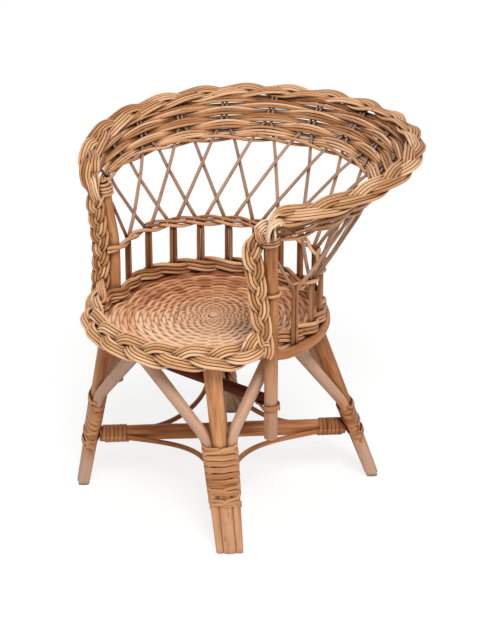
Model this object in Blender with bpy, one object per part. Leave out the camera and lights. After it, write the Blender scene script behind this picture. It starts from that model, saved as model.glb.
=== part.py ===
"""A child's wicker tub chair: a willow frame on four bound legs, a woven round seat,
an open lattice wall of paired rods, and plaited borders. Run it in Blender."""

import math

import bmesh
import bpy
import numpy as np
from mathutils import Matrix, Vector

# Driving dimensions, in metres, degrees and counts
GAP = 0.0004  # clearance between neighbouring pieces

SEAT_HEIGHT = 0.2445  # top of the woven seat at its edge
SEAT_THICKNESS = 0.012
SEAT_SAG = 0.003
SEAT_ROWS = 14  # rows of the weave's relief, from the edge to the middle
SEAT_STAKES = 32  # radial stakes that the rows pass over and under, an even number
SEAT_RELIEF = 0.004  # how far a row rises and dips from one stake to the next
SEAT_EYE = 0.1  # share of the seat's radius that is flat in the middle
SEAT_FINE = 0.6  # share of the radius inside which the relief fades towards the middle
WALL_RADIUS = 0.1345  # circle of the upright rods at the seat
POST_ANGLE = 109.4  # place of the arm posts, from the back, about the seat's centre

PAIR_COUNT = 13  # upright pairs between the posts
ROD_DIAMETER = 0.005
LEAN_STEPS = 1.5  # pair spacings that a rod leans sideways in the lattice
LEAN_END = 1.2  # where a rod would reach its new place, inside the band, as a share of the lattice
LAYER_RISE = 0.3  # share of the lattice's height in which rods part into two layers
LAYER_FALL = 0.12  # share of it in which they come back into one
ROD_END_LIFT = 0.7  # how far a leaning rod's end rises past its middle, in rod radii
GALLERY_HEIGHT = 0.0715  # seat to the middle of the mid waling, at the posts
GALLERY_DROP = 0.005  # how much lower the mid waling is at the back
LATTICE_HEIGHT = 0.074  # mid waling to the band, at the posts
LATTICE_RISE = 0.012  # how much higher the band starts at the back

BAND_RADIUS = 0.165  # lower edge of the woven band
BAND_ROWS = 6  # rows of weavers in the band
BAND_THICKNESS = 0.0044  # of one row
BAND_SWING = 0.0034  # how far a row swings in and out past the stakes
RIM_RADIUS = 0.2015  # middle of the rim plait
RIM_HEIGHT = 0.036  # band's lower edge to the middle of the rim plait, at the posts
RIM_RISE = 0.025  # how much higher the rim is at the back
RIM_FLARE = 0.007  # how far the rim's ends stand outside the posts
RIM_LEAD = 0.0175  # how far the rim's ends stand ahead of the posts
RIM_WIDTH = 0.028
RIM_THICKNESS = 0.018

HOOP_THICKNESS = 0.010
HOOP_SHOULDER = 0.6  # share of its thickness that is flat on top
HOOP_REACH = 1.01  # how far round it goes, where the posts are at 1
HOOP_EDGE = 0.003  # height of its rounded edges, and of the seat's
SEAT_WALE_DIAMETER = 0.0065
MID_WALE_DIAMETER = 0.005

FRONT_RADIUS = 0.138  # middle of the plait along the seat's front edge
FRONT_LEAD = 0.0213  # how far that plait's circle lies ahead of the seat's centre
FRONT_RAISE = 0.010  # middle of that plait above the seat
FRONT_WIDTH = 0.028
FRONT_THICKNESS = 0.018
FRONT_TILT = 45  # how far its face turns up from level
POST_PLAIT_WIDTH = 0.021  # the same plait where it runs down the posts
POST_PLAIT_THICKNESS = 0.014
POST_PLAIT_TURN = 20  # how far its face turns outwards there
FRONT_SWEEP = 52  # half the angle of its circle, before it turns up to the posts
FRONT_TURN_AT = 0.7  # where it leaves the posts, as a share of the gallery's height
FRONT_CORNER = 0.9  # how far down it goes before it turns, as a share of its drop from there
SEAT_CLEAR = 9  # angle past the posts where the seat starts to widen to that plait
SEAT_WIDEN = 22  # angle over which it widens

POST_DIAMETER = 0.017
POST_DROP = 0.1175  # how far the posts reach below the seat's top
POST_LEAN_OUT = 0.06  # sideways lean above the mid waling, per metre
POST_LEAN_AHEAD = 0.12  # forward lean above the mid waling, per metre
CROSSBAR_DIAMETER = 0.015
CROSSBAR_DROP = 0.078  # middle of the crossbar below the seat's top
CROSSBAR_OVERHANG = 0.011  # how far it passes the posts' middles
TIE_WIDTH = 0.007
TIE_THICKNESS = 0.002
TIE_DRIFT = 0.7  # how far a lashing's turns spread sideways, in steps from turn to turn

FEET_TWIST = -4.3  # the feet of the hand-made base are turned a little against the seat
FRONT_FOOT_X = 0.132
FRONT_FOOT_Y = -0.110
REAR_FOOT_X = 0.1263
REAR_FOOT_Y = 0.1655
FRONT_TOP_X = 0.083
FRONT_TOP_Y = -0.1029
REAR_TOP_X = 0.0963
REAR_TOP_Y = 0.0766
LEG_FOOT_DIAMETER = 0.0155
LEG_TOP_DIAMETER = 0.021
BRACE_FOOT_DIAMETER = 0.0095
BRACE_TOP_DIAMETER = 0.0145
FRONT_APEX_Y = -0.139  # where the front braces meet under the seat
BACK_APEX_Y = 0.117
SIDE_APEX_INSET = 0.0165  # how far inside the posts the side braces meet
SIDE_APEX_Y = 0.008
BRACE_BEND = 0.020  # length of the bend where a brace leaves its leg

BINDING_BOTTOM = 0.052
FRONT_BINDING_TURNS = 10
REAR_BINDING_TURNS = 7
BINDING_WIDTH = 0.0075
BINDING_PITCH = 0.0086
BINDING_THICKNESS = 0.0022
WRAP_TURNS = 5  # turns of the same strip round a stretcher's end
WRAP_WIDTH = 0.0048
WRAP_PITCH = 0.0056
CROSSING = ((1, 0.55), (0.92, 0.2), (0.62, 0))  # from the stretcher to the leg: in, and down
STRETCHER_HEIGHT = 0.083  # where the two stretchers cross
STRETCHER_DIAMETER = 0.020
FILLET_DIAMETER = 0.0065
FILLET_REACH = 0.055  # how far a fillet rod follows its stretchers before it turns
FILLET_SAG = 0.012  # how far its bend hangs below its ends

# Sizes and places worked out from those above
UP = Vector((0, 0, 1))
ROD = ROD_DIAMETER / 2
POST = POST_DIAMETER / 2
STRETCHER = STRETCHER_DIAMETER / 2
FILLET = FILLET_DIAMETER / 2
CROSSBAR = CROSSBAR_DIAMETER / 2
SEAT_BOTTOM = SEAT_HEIGHT - SEAT_THICKNESS
UNDER_SEAT = SEAT_BOTTOM - GAP
SPACING = 2 / (PAIR_COUNT + 1)  # from pair to pair, where the wall runs from -1 to 1
PAIR_OFFSET = ROD + GAP / 2  # from the middle of a pair to either rod
MID_HEIGHT = SEAT_HEIGHT + GALLERY_HEIGHT
BAND_HEIGHT = MID_HEIGHT + LATTICE_HEIGHT
RIM_END_HEIGHT = BAND_HEIGHT + RIM_HEIGHT
LOOP_CORNERS = 10  # of one turn of a strip round three sticks
ROD_STEPS = 7  # pieces of a rod's path through the lattice
ARC_STEPS = 50  # pieces of the rim's and the hoop's arc
SMALL = 0.001  # step along a level, to find the way it runs
SIDE_APEX_X = WALL_RADIUS * math.sin(math.radians(POST_ANGLE)) - POST - SIDE_APEX_INSET
CORNERS = ("front_left", "rear_left", "rear_right", "front_right")


def bend_in(x):
    """A smooth step from 0 to 1."""
    x = min(max(x, 0), 1)
    return x * x * (3 - 2 * x)


def bezier(a, b, c, d, count):
    """Points on a cubic curve from a to d, both ends included."""
    steps = [i / (count - 1) for i in range(count)]
    return [
        a * (1 - t) ** 3 + b * (3 * t * (1 - t) ** 2) + c * (3 * t * t * (1 - t)) + d * t**3
        for t in steps
    ]


def willow(name, colour, roughness):
    """A plain willow finish for one kind of piece."""
    material = bpy.data.materials.new(name)
    material.use_nodes = True
    shader = material.node_tree.nodes["Principled BSDF"]
    shader.inputs["Base Color"].default_value = (*colour, 1)
    shader.inputs["Roughness"].default_value = roughness
    shader.inputs["Metallic"].default_value = 0
    return material


def clear_scene():
    for old in list(bpy.data.objects):
        bpy.data.objects.remove(old)


def loft(name, rings, finish, crease=50):
    """One closed body through a row of rings of points, with a flat end at each."""
    shape = bmesh.new()
    rows = [[shape.verts.new(point) for point in ring] for ring in rings]
    for low, high in zip(rows, rows[1:]):
        for i in range(len(low)):
            j = (i + 1) % len(low)
            shape.faces.new((low[i], low[j], high[j], high[i]))
    shape.faces.new(reversed(rows[0]))
    shape.faces.new(rows[-1])
    bmesh.ops.recalc_face_normals(shape, faces=shape.faces)
    mesh = bpy.data.meshes.new(name)
    shape.to_mesh(mesh)
    shape.free()
    mesh.shade_smooth()
    mesh.set_sharp_from_angle(angle=math.radians(crease))
    mesh.materials.append(finish)
    piece = bpy.data.objects.new(name, mesh)
    bpy.context.scene.collection.objects.link(piece)
    piece.parent = bpy.data.objects["chair"]
    return piece


def directions(points):
    """The way a path runs at each of its points."""
    last = len(points) - 1
    return [
        (points[min(i + 1, last)] - points[max(i - 1, 0)]).normalized() for i in range(last + 1)
    ]


def level_cut(height):
    """The plane of a level saw cut, as a point on it and its direction."""
    return UP * height, UP


def cut(ring, way, plane):
    """Slides a ring's points along the stick until they all lie on a saw cut's plane."""
    place, facing = plane
    return [point + way * ((place - point).dot(facing) / way.dot(facing)) for point in ring]


def stick(name, points, radii, finish, sides=8, foot=None, head=None):
    """A round stick along a path. foot and head are the saw cuts at its ends, if not square."""
    ways = directions(points)
    side = ways[0].orthogonal().normalized()
    rings = []
    for point, way, radius in zip(points, ways, radii):
        side = (side - way * side.dot(way)).normalized()
        over = way.cross(side)
        turns = [2 * math.pi * i / sides for i in range(sides)]
        rings.append([point + (side * math.cos(a) + over * math.sin(a)) * radius for a in turns])
    if foot is not None:
        rings[0] = cut(rings[0], ways[0], foot)
    if head is not None:
        rings[-1] = cut(rings[-1], ways[-1], head)
    return loft(name, rings, finish)


def oval_bar(name, points, faces, sizes, finish, sides=10):
    """A bar of oval section along a path, its flatter side turned to the given directions.
    sizes holds its width and thickness at each point."""
    rings = []
    for point, way, face, (width, thickness) in zip(points, directions(points), faces, sizes):
        face = (face - way * face.dot(way)).normalized()
        across = way.cross(face)
        turns = [2 * math.pi * i / sides for i in range(sides)]
        rings.append(
            [
                point
                + across * (width / 2 * math.cos(a))
                + face * (thickness / 2 * math.sin(a))
                for a in turns
            ]
        )
    return loft(name, rings, finish)


def wound_strip(name, points, faces, widths, thickness, finish, turn):
    """A flat strip wound along a path as one unbroken piece. It prints its least gap to
    itself, measured between the corners of sections that are over half a turn apart."""
    rings = []
    for point, way, face, width in zip(points, directions(points), faces, widths):
        face = (face - way * face.dot(way)).normalized()
        across = way.cross(face) * (width / 2)
        out = face * (thickness / 2)
        rings.append([point + across + out, point - across + out])
        rings[-1] += [point - across - out, point + across - out]
    corners = np.array(rings)
    least = min(
        np.linalg.norm(corners[i][:, None] - corners[j][None], axis=2).min()
        for i in range(len(rings))
        for j in range(i + turn // 2 + 1, len(rings))
    )
    print(f"{name}: least gap to itself {least * 1000:.2f} mm")
    return loft(name, rings, finish, crease=30)


def level_arc(radius, end_x, end_y, end_z, rise):
    """A level of the wall: an arc through both ends, higher at the back by rise and climbing
    most steeply from its ends. Places on it run from -1 at the right post, over 0 at the back,
    to 1 at the left post."""
    middle = end_y + math.sqrt(radius**2 - end_x**2)
    span = math.atan2(end_x, end_y - middle)

    def place(share):
        y = middle + radius * math.cos(share * span)
        behind = (y - end_y) / (middle + radius - end_y)
        height = end_z + rise * behind * (2 - behind)
        return Vector((radius * math.sin(share * span), y, height))

    return place


def circle_level(height, drop):
    """A level of the wall on the seat's circle."""
    span = math.radians(POST_ANGLE)
    end = WALL_RADIUS * math.cos(span)

    def place(share):
        y = WALL_RADIUS * math.cos(share * span)
        low = drop * (y - end) / (WALL_RADIUS - end)
        return Vector((WALL_RADIUS * math.sin(share * span), y, height - low))

    return place


def post_at(height, side=1):
    """The middle of an arm post at a height: upright to the mid waling, then leaning."""
    span = math.radians(POST_ANGLE)
    above = max(height - MID_HEIGHT, 0)
    x = WALL_RADIUS * math.sin(span) + POST_LEAN_OUT * above
    y = WALL_RADIUS * math.cos(span) - POST_LEAN_AHEAD * above
    return Vector((side * x, y, height))


seat_level = circle_level(SEAT_HEIGHT, 0)
mid_level = circle_level(MID_HEIGHT, GALLERY_DROP)
band_level = level_arc(BAND_RADIUS, *post_at(BAND_HEIGHT), LATTICE_RISE)
rim_end = post_at(BAND_HEIGHT) + Vector((RIM_FLARE, -RIM_LEAD, RIM_HEIGHT))
rim_level = level_arc(RIM_RADIUS, *rim_end, RIM_RISE)
rim_tilt = math.atan2(RIM_FLARE, RIM_HEIGHT)
UNDER_RIM = RIM_END_HEIGHT - GAP - math.hypot(
    RIM_THICKNESS / 2 * math.cos(rim_tilt), RIM_WIDTH / 2 * math.sin(rim_tilt)
)


def arc_step(level, share):
    """The arc length that one unit of share covers near a place on a level."""
    return (level(share + SMALL) - level(share - SMALL)).length / (2 * SMALL)


def wall_axes(share, height_share):
    """Along, up and out at a place on the lattice, between the mid waling and the band."""

    def at(place):
        return mid_level(place).lerp(band_level(place), height_share)

    along = (at(share + SMALL) - at(share - SMALL)).normalized()
    up = (band_level(share) - mid_level(share)).normalized()
    return along, up, along.cross(up).normalized() * -1


def rod_points(pair, lean):
    """The path of one upright rod: from the seat's edge straight up to the mid waling, then
    leaning sideways through the lattice to the band, or to a post that it meets first."""
    start = pair * SPACING
    target = start + lean * LEAN_STEPS * SPACING
    aside = lean * PAIR_OFFSET
    wale = MID_WALE_DIAMETER + GAP
    points = []
    for level, lift in ((seat_level, -SEAT_THICKNESS), (mid_level, -wale), (mid_level, wale)):
        along, _, _ = wall_axes(start, 0)
        points.append(level(start) + along * aside + UP * lift)
    rise = (band_level(start) - mid_level(start)).length
    first = (wale + ROD_DIAMETER) / rise
    last = 1 - (GAP + ROD * ROD_END_LIFT) / rise
    for i in range(ROD_STEPS + 1):
        step = first + (last - first) * i / ROD_STEPS
        moved = step / LEAN_END
        share = start + (target - start) * moved
        along, _, out = wall_axes(share, step)
        parted = bend_in(step / LAYER_RISE) * bend_in((1 - step) / LAYER_FALL)
        layer = -lean * (ROD + GAP) * parted
        place = mid_level(share).lerp(band_level(share), step)
        place += along * (aside * (1 - 2 * moved)) + out * layer
        beside = post_at(place.z, math.copysign(1, share))
        if (place - beside).length < POST + ROD + 3 * GAP or abs(share) > 1:
            break
        points.append(place)
    return points


def twined_wale(name, level, lift, diameter, finish):
    """A waling of two strands that twist once round each other from pair to pair, as one
    rod doubled at the left post, its two ends at the right post."""
    half = diameter / 2
    inward = ROD + half + 2 * GAP
    apart = half + GAP / 2
    last_pair = (PAIR_COUNT - 1) // 2
    end = 1 - (POST + inward + half + 2 * GAP) / arc_step(level, 1)
    outer_end = last_pair * SPACING
    steps = 4

    def place(share, turn):
        out = (level(share) * Vector((1, 1, 0))).normalized()
        return level(share) + out * inward * math.cos(turn) + UP * (lift + apart * math.sin(turn))

    shares = [-end]
    shares += [outer_end * (i / (last_pair * steps) - 1) for i in range(2 * last_pair * steps + 1)]
    shares.append(end)
    turns = [math.pi * min(max(share, -outer_end), outer_end) / SPACING for share in shares]
    there = [place(share, turn) for share, turn in zip(shares, turns)]
    back = [place(share, turn + math.pi) for share, turn in zip(shares, turns)]
    middle = (there[-1] + back[-1]) / 2
    out = (there[-1] - back[-1]) / 2
    ahead = out.cross(UP)
    if ahead.dot(there[-1] - there[-2]) < 0:
        ahead = -ahead
    turned = [math.pi * i / 4 for i in (1, 2, 3)]
    bend = [middle + out * math.cos(a) + ahead * math.sin(a) for a in turned]
    path = there + bend + back[::-1]
    return stick(name, path, [half] * len(path), finish, sides=6)


def make_wall(rod_finish, wale_finish):
    """The upright rods, and the walings that hold them at the seat and half way up."""
    last_pair = (PAIR_COUNT - 1) // 2
    for pair in range(-last_pair, last_pair + 1):
        for lean, hand in ((-1, "right"), (1, "left")):
            points = rod_points(pair, lean)
            name = f"wall_rod_{pair + last_pair + 1:02d}_{hand}"
            stick(name, points, [ROD] * len(points), rod_finish, sides=6)
    wale = SEAT_WALE_DIAMETER
    twined_wale("seat_waling", seat_level, GAP + wale + GAP / 2, wale, wale_finish)
    twined_wale("mid_waling", mid_level, 0, MID_WALE_DIAMETER, wale_finish)


def make_band(finish):
    """The close-woven band between the lattice and the rim, lower at the arms. Its rows swing
    in and out past the stakes, each against the next."""
    half = BAND_THICKNESS / 2
    end = 1 - (POST + BAND_SWING + half + 2 * GAP) / arc_step(band_level, 1)
    steps = range(-PAIR_COUNT, PAIR_COUNT + 1)
    rings = []
    for share in [-end] + [step * SPACING / 2 for step in steps] + [end]:
        low = band_level(share)
        slope = rim_level(share) - low
        up = slope.normalized()
        along = (band_level(share + SMALL) - band_level(share - SMALL)).normalized()
        out = up.cross(along).normalized()
        height = slope.length - RIM_THICKNESS / 2 - GAP
        swing = BAND_SWING * math.cos(math.pi * (share / SPACING + 0.5))
        rows = [(height * (r + 0.5) / BAND_ROWS, swing * (-1) ** r) for r in range(BAND_ROWS)]
        rows = [(0, 0)] + rows + [(height, 0)]
        inner = [low + up * h + out * (aside - half) for h, aside in rows]
        outer = [low + up * h + out * (aside + half) for h, aside in reversed(rows)]
        rings.append(inner + outer)
    loft("top_band", rings, finish, crease=18)


def make_rim(finish):
    """The plaited rim along the top of the wall, from arm to arm."""
    shares = [2 * i / ARC_STEPS - 1 for i in range(ARC_STEPS + 1)]
    points = [rim_level(share) for share in shares]
    faces = [rim_level(share) - band_level(share) for share in shares]
    sizes = [(RIM_WIDTH, RIM_THICKNESS)] * len(points)
    oval_bar("rim_plait", points, faces, sizes, finish)


def front_reach():
    """How far the front plait's oval reaches in from its middle, level with the seat."""
    tilt = math.radians(FRONT_TILT)
    return math.hypot(FRONT_THICKNESS / 2 * math.cos(tilt), FRONT_WIDTH / 2 * math.sin(tilt))


def front_place(angle):
    """The middle of the plait along the seat's front edge, at an angle from the front."""
    x = FRONT_RADIUS * math.sin(angle)
    y = -FRONT_LEAD - FRONT_RADIUS * math.cos(angle)
    return Vector((x, y, SEAT_HEIGHT + FRONT_RAISE))


def make_front_plait(finish):
    """One plait down the front of an arm post, along the seat's front edge and up the other."""
    outwards = math.radians(POST_PLAIT_TURN)
    on_post = Vector((math.sin(outwards), -math.cos(outwards), 0))
    ahead = POST + GAP + math.hypot(
        POST_PLAIT_THICKNESS / 2 * math.cos(outwards), POST_PLAIT_WIDTH / 2 * math.sin(outwards)
    )
    turn = math.radians(FRONT_SWEEP)
    tilt = math.radians(FRONT_TILT)
    leave = MID_HEIGHT - GALLERY_HEIGHT * FRONT_TURN_AT
    heights = (UNDER_RIM, (UNDER_RIM + MID_HEIGHT) / 2, MID_HEIGHT, leave)
    down = [post_at(height) - Vector((0, ahead, 0)) for height in heights]
    start = front_place(turn)
    way = (front_place(turn - SMALL) - start).normalized()
    drop = down[-1].z - start.z
    low = down[-1] - UP * drop * FRONT_CORNER
    corner = bezier(down[-1], low, start - way * drop, start, 6)
    half = down + corner[1:]
    upright = len(down)
    facings, sizes = [], []
    for i, point in enumerate(half):
        out = Vector((point.x, point.y + FRONT_LEAD, 0)).normalized()
        turned = out * math.cos(tilt) + UP * math.sin(tilt)
        share = bend_in((i - upright + 1) / (len(half) - upright))
        facings.append(on_post.lerp(turned, share))
        width = POST_PLAIT_WIDTH + (FRONT_WIDTH - POST_PLAIT_WIDTH) * share
        thickness = POST_PLAIT_THICKNESS + (FRONT_THICKNESS - POST_PLAIT_THICKNESS) * share
        sizes.append((width, thickness))
    across = [turn * (1 - i / 8) for i in range(1, 8)]
    points = half + [front_place(a) for a in across]
    for a in across:
        out = Vector((math.sin(a), -math.cos(a), 0))
        facings.append(out * math.cos(tilt) + UP * math.sin(tilt))
        sizes.append((FRONT_WIDTH, FRONT_THICKNESS))
    mirror = Vector((-1, 1, 1))
    points += [front_place(0)] + [point * mirror for point in reversed(points)]
    facings += [Vector((0, -math.cos(tilt), math.sin(tilt)))]
    facings += [face * mirror for face in reversed(facings[:-1])]
    sizes += [(FRONT_WIDTH, FRONT_THICKNESS)] + sizes[::-1]
    oval_bar("front_plait", points, facings, sizes, finish)


def seat_edge(angle):
    """The seat's radius at an angle from the back: inside the waling, out to the front plait."""
    wall = WALL_RADIUS - max(ROD + SEAT_WALE_DIAMETER + 2 * GAP, POST + GAP)
    ahead = -FRONT_LEAD * math.cos(angle)
    inside = FRONT_RADIUS - front_reach() - GAP
    front = ahead + math.sqrt(inside**2 - (FRONT_LEAD * math.sin(angle)) ** 2)
    clear_of_post = math.radians(POST_ANGLE + SEAT_CLEAR)
    share = bend_in((abs(angle) - clear_of_post) / math.radians(SEAT_WIDEN))
    return wall + (front - wall) * share


def make_seat(finish, hoop_finish):
    """The woven seat, and the half-round hoop nailed round the feet of the wall's rods."""
    count = 2 * SEAT_STAKES
    angles = [2 * math.pi * i / count - math.pi for i in range(count)]
    profile = [(1, SEAT_BOTTOM, 0), (1, SEAT_HEIGHT - HOOP_EDGE, 0)]
    for row in range(SEAT_ROWS):
        share = 1 - (1 - SEAT_EYE) * (row + 0.5) / SEAT_ROWS
        dip = SEAT_RELIEF / 2 * (-1) ** row * min(share / SEAT_FINE, 1)
        profile.append((share, SEAT_HEIGHT - SEAT_SAG * (1 - share**2) - SEAT_RELIEF / 2, dip))
    rings = []
    for share, height, dip in profile:
        ring = []
        for i, angle in enumerate(angles):
            radius = seat_edge(angle) * share
            place = Vector((radius * math.sin(angle), radius * math.cos(angle), height))
            ring.append(place + UP * (dip * math.cos(math.pi * i / 2)))
        rings.append(ring)
    loft("woven_seat", rings, finish, crease=18)

    last_rod = (PAIR_COUNT - 1) / (PAIR_COUNT + 1) + (PAIR_OFFSET + ROD) / arc_step(seat_level, 1)
    post_edge = 1 - POST / arc_step(seat_level, 1)
    hoop = []
    for i in range(ARC_STEPS + 1):
        share = HOOP_REACH * (2 * i / ARC_STEPS - 1)
        out = (seat_level(share) * Vector((1, 1, 0))).normalized()
        bulge = bend_in((abs(share) - last_rod) / (post_edge - last_rod))
        inner = WALL_RADIUS + ROD + GAP + (POST - ROD) * bulge
        outer = inner + HOOP_THICKNESS
        shoulder = inner + HOOP_THICKNESS * HOOP_SHOULDER
        section = [(inner, SEAT_BOTTOM), (inner, SEAT_HEIGHT), (shoulder, SEAT_HEIGHT)]
        section += [(outer, SEAT_HEIGHT - HOOP_EDGE), (outer, SEAT_BOTTOM + HOOP_EDGE)]
        section += [(shoulder, SEAT_BOTTOM)]
        hoop.append([out * radius + UP * height for radius, height in section])
    loft("seat_hoop", hoop, hoop_finish)


def bundle_outline(offset, middle, end, clear):
    """Ten corners, counter-clockwise, round three round sticks side by side: one of radius
    middle between two of radius end. Each is (place, outward direction)."""
    flat = math.tan(math.pi / 8)
    edge = Vector((offset + (end + clear) * flat, end + clear))
    slope = math.atan2(edge.y, edge.x) + math.acos(min((middle + clear) / edge.length, 1))
    crown = (middle + clear) / math.sin(slope)
    corners = []
    for turn in (1, -1):
        reach = (end + clear) * turn
        far = offset * turn
        corners += [
            (far + reach * flat, -(end + clear) * turn),
            (far + reach, -(end + clear) * flat * turn),
            (far + reach, (end + clear) * flat * turn),
            (far + reach * flat, (end + clear) * turn),
            (0, crown * turn),
        ]
    outward = [Vector((x - min(max(x, -offset), offset), y)).normalized() for x, y in corners]
    return list(zip(corners, outward))


class Leg:
    """One leg's places: its axis, the way out from the stretcher, and its sticks' sizes."""

    def __init__(self, corner):
        side = 1 if "left" in corner else -1
        if "front" in corner:
            foot, top = (FRONT_FOOT_X, FRONT_FOOT_Y), (FRONT_TOP_X, FRONT_TOP_Y)
        else:
            foot, top = (REAR_FOOT_X, REAR_FOOT_Y), (REAR_TOP_X, REAR_TOP_Y)
        self.corner = corner
        twist = Matrix.Rotation(math.radians(FEET_TWIST), 3, "Z")
        self.foot = twist @ Vector((side * foot[0], foot[1], 0))
        self.top = Vector((side * top[0], top[1], UNDER_SEAT))
        over = corner in ("front_left", "rear_right")
        self.turns = FRONT_BINDING_TURNS if "front" in corner else REAR_BINDING_TURNS
        self.binding_top = BINDING_BOTTOM + self.turns * BINDING_PITCH
        self.stretcher_z = STRETCHER_HEIGHT + (STRETCHER + GAP / 2) * (1 if over else -1)

    def at(self, height):
        return self.foot.lerp(self.top, height / UNDER_SEAT)

    def face_from(self, opposite):
        """Sets the way out from the opposite leg, and the way along the bundle."""
        z = self.stretcher_z
        self.out = (self.at(z) - opposite.at(z)).normalized()
        self.along = UP.cross(self.out)
        self.axis = (self.top - self.foot).normalized()
        self.bundle_along = self.along - self.axis * self.along.dot(self.axis)
        self.bundle_along.normalize()
        self.bundle_out = self.bundle_along.cross(self.axis)

    def radius(self, height):
        share = height / UNDER_SEAT
        return (LEG_FOOT_DIAMETER + (LEG_TOP_DIAMETER - LEG_FOOT_DIAMETER) * share) / 2

    def brace_radius(self, height):
        share = min(height / UNDER_SEAT, 1)
        return (BRACE_FOOT_DIAMETER + (BRACE_TOP_DIAMETER - BRACE_FOOT_DIAMETER) * share) / 2

    def brace_offset(self, height):
        return self.radius(height) + self.brace_radius(height) + GAP

    def inner_face(self):
        """How far in from the leg's axis its binding's outer face lies, at the stretcher."""
        return self.radius(self.binding_top) + 2 * GAP + BINDING_THICKNESS


def make_leg(leg, finish):
    heights = (0, BINDING_BOTTOM, leg.binding_top, UNDER_SEAT)
    points = [leg.at(height) for height in heights]
    radii = [leg.radius(height) for height in heights]
    stick(f"leg_{leg.corner}", points, radii, finish, 10, level_cut(0), level_cut(UNDER_SEAT))


def make_brace(leg, neighbour, apex, finish):
    """A brace that is bound to the leg's side, then bends away to meet the neighbour's brace
    under the seat, half way between the legs."""
    hand = math.copysign(1, (neighbour.foot - leg.foot).dot(leg.along))
    heights = (0, BINDING_BOTTOM, leg.binding_top)
    bound = [leg.at(h) + leg.bundle_along * (hand * leg.brace_offset(h)) for h in heights]
    up = (bound[-1] - bound[-2]).normalized()
    toward = (leg.foot - neighbour.foot).normalized()
    knee = bound[-1] + up * BRACE_BEND
    lean = (apex - knee).normalized()
    end = apex + toward * (BRACE_TOP_DIAMETER / 2 / lean.z + GAP)
    after = knee + (end - knee).normalized() * BRACE_BEND
    points = bound + bezier(bound[-1], knee, knee, after, 5)[1:] + [end]
    radii = [leg.brace_radius(max(point.z, 0)) for point in points]
    name = f"brace_{leg.corner}_to_{neighbour.corner}"
    stick(name, points, radii, finish, 8, level_cut(0), level_cut(UNDER_SEAT))


def binding_path(leg):
    """The strip's path: round the stretcher's end and its fillet rods, across to the leg's
    side, then up round the leg and its braces. Gives places, outward directions and widths."""
    clear = GAP + BINDING_THICKNESS / 2
    loops = LOOP_CORNERS
    places, faces, widths = [], [], []
    wrapped = bundle_outline(STRETCHER + FILLET + GAP, STRETCHER, FILLET, clear)
    first = leg.inner_face() + WRAP_WIDTH / 2 + GAP + WRAP_PITCH / 2
    middle = leg.at(leg.stretcher_z)
    for i in range(WRAP_TURNS * loops + 2, 1, -1):
        (x, y), (face_x, face_y) = wrapped[i % loops]
        inward = first + WRAP_PITCH * i / loops
        places.append(middle + leg.along * x + UP * y - leg.out * inward)
        faces.append(leg.along * face_x + UP * face_y)
        widths.append(WRAP_WIDTH)
    start = BINDING_BOTTOM + BINDING_WIDTH / 2
    outline = leg_outline(leg, start, clear)
    side = outline[1][0][0]
    low = leg.at(start)
    for inward, share in CROSSING:
        height = start + (leg.stretcher_z - start) * share
        across = leg.along * (side + (wrapped[1][0][0] - side) * share)
        axis = middle.lerp(low, 1 - share)
        places.append(Vector((axis.x, axis.y, height)) + across - leg.out * (first * inward))
        faces.append(leg.along)
        widths.append(WRAP_WIDTH)
    for i in range(1, leg.turns * loops):
        height = start + (BINDING_PITCH - BINDING_WIDTH / leg.turns) * i / loops
        (x, y), (face_x, face_y) = leg_outline(leg, height, clear)[i % loops]
        places.append(leg.at(height) + leg.bundle_along * x + leg.bundle_out * y)
        faces.append(leg.bundle_along * face_x + leg.bundle_out * face_y)
        widths.append(WRAP_WIDTH + (BINDING_WIDTH - WRAP_WIDTH) * bend_in(i / loops))
    return places, faces, widths


def leg_outline(leg, height, clear):
    return bundle_outline(
        leg.brace_offset(height), leg.radius(height), leg.brace_radius(height), clear
    )


def make_binding(leg, finish):
    path = binding_path(leg)
    wound_strip(f"binding_{leg.corner}", *path, BINDING_THICKNESS, finish, LOOP_CORNERS)


def make_stretcher(leg, opposite, finish):
    ends, cuts = [], []
    for one in (leg, opposite):
        beside = one.at(one.stretcher_z) - one.bundle_out * (one.inner_face() + GAP)
        ends.append(one.at(one.stretcher_z) - one.out * one.inner_face())
        cuts.append((beside, one.bundle_out))
    name = f"stretcher_{leg.corner}_to_{opposite.corner}"
    stick(name, ends, [STRETCHER, STRETCHER], finish, 10, *cuts)


def make_fillet(leg, neighbour, finish):
    """A thin rod bent between two neighbouring legs, each end bound to a stretcher's side."""
    ends = []
    wrap = WRAP_PITCH * (WRAP_TURNS + 1)
    for one, other in ((leg, neighbour), (neighbour, leg)):
        hand = math.copysign(1, (other.foot - one.foot).dot(one.along))
        beside = one.at(one.stretcher_z) + one.along * (hand * (STRETCHER + FILLET + GAP))
        start = one.inner_face() + GAP
        ends.append([beside - one.out * reach for reach in (start, start + wrap)])
    sag = UP * FILLET_SAG
    turns = [end[1] - one.out * FILLET_REACH - sag for end, one in zip(ends, (leg, neighbour))]
    bow = bezier(ends[0][1], turns[0], turns[1], ends[1][1], 11)
    points = [ends[0][0]] + bow + [ends[1][0]]
    name = f"fillet_{leg.corner}_to_{neighbour.corner}"
    stick(name, points, [FILLET] * len(points), finish, 6)


def make_posts(finish):
    low = SEAT_HEIGHT - POST_DROP
    heights = (low, SEAT_HEIGHT, MID_HEIGHT, (MID_HEIGHT + UNDER_RIM) / 2, UNDER_RIM)
    for side, hand in ((1, "left"), (-1, "right")):
        points = [post_at(height, side) for height in heights]
        radii = [POST] * len(points)
        ends = (level_cut(low), level_cut(UNDER_RIM))
        stick(f"arm_post_{hand}", points, radii, finish, 10, *ends)


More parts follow.
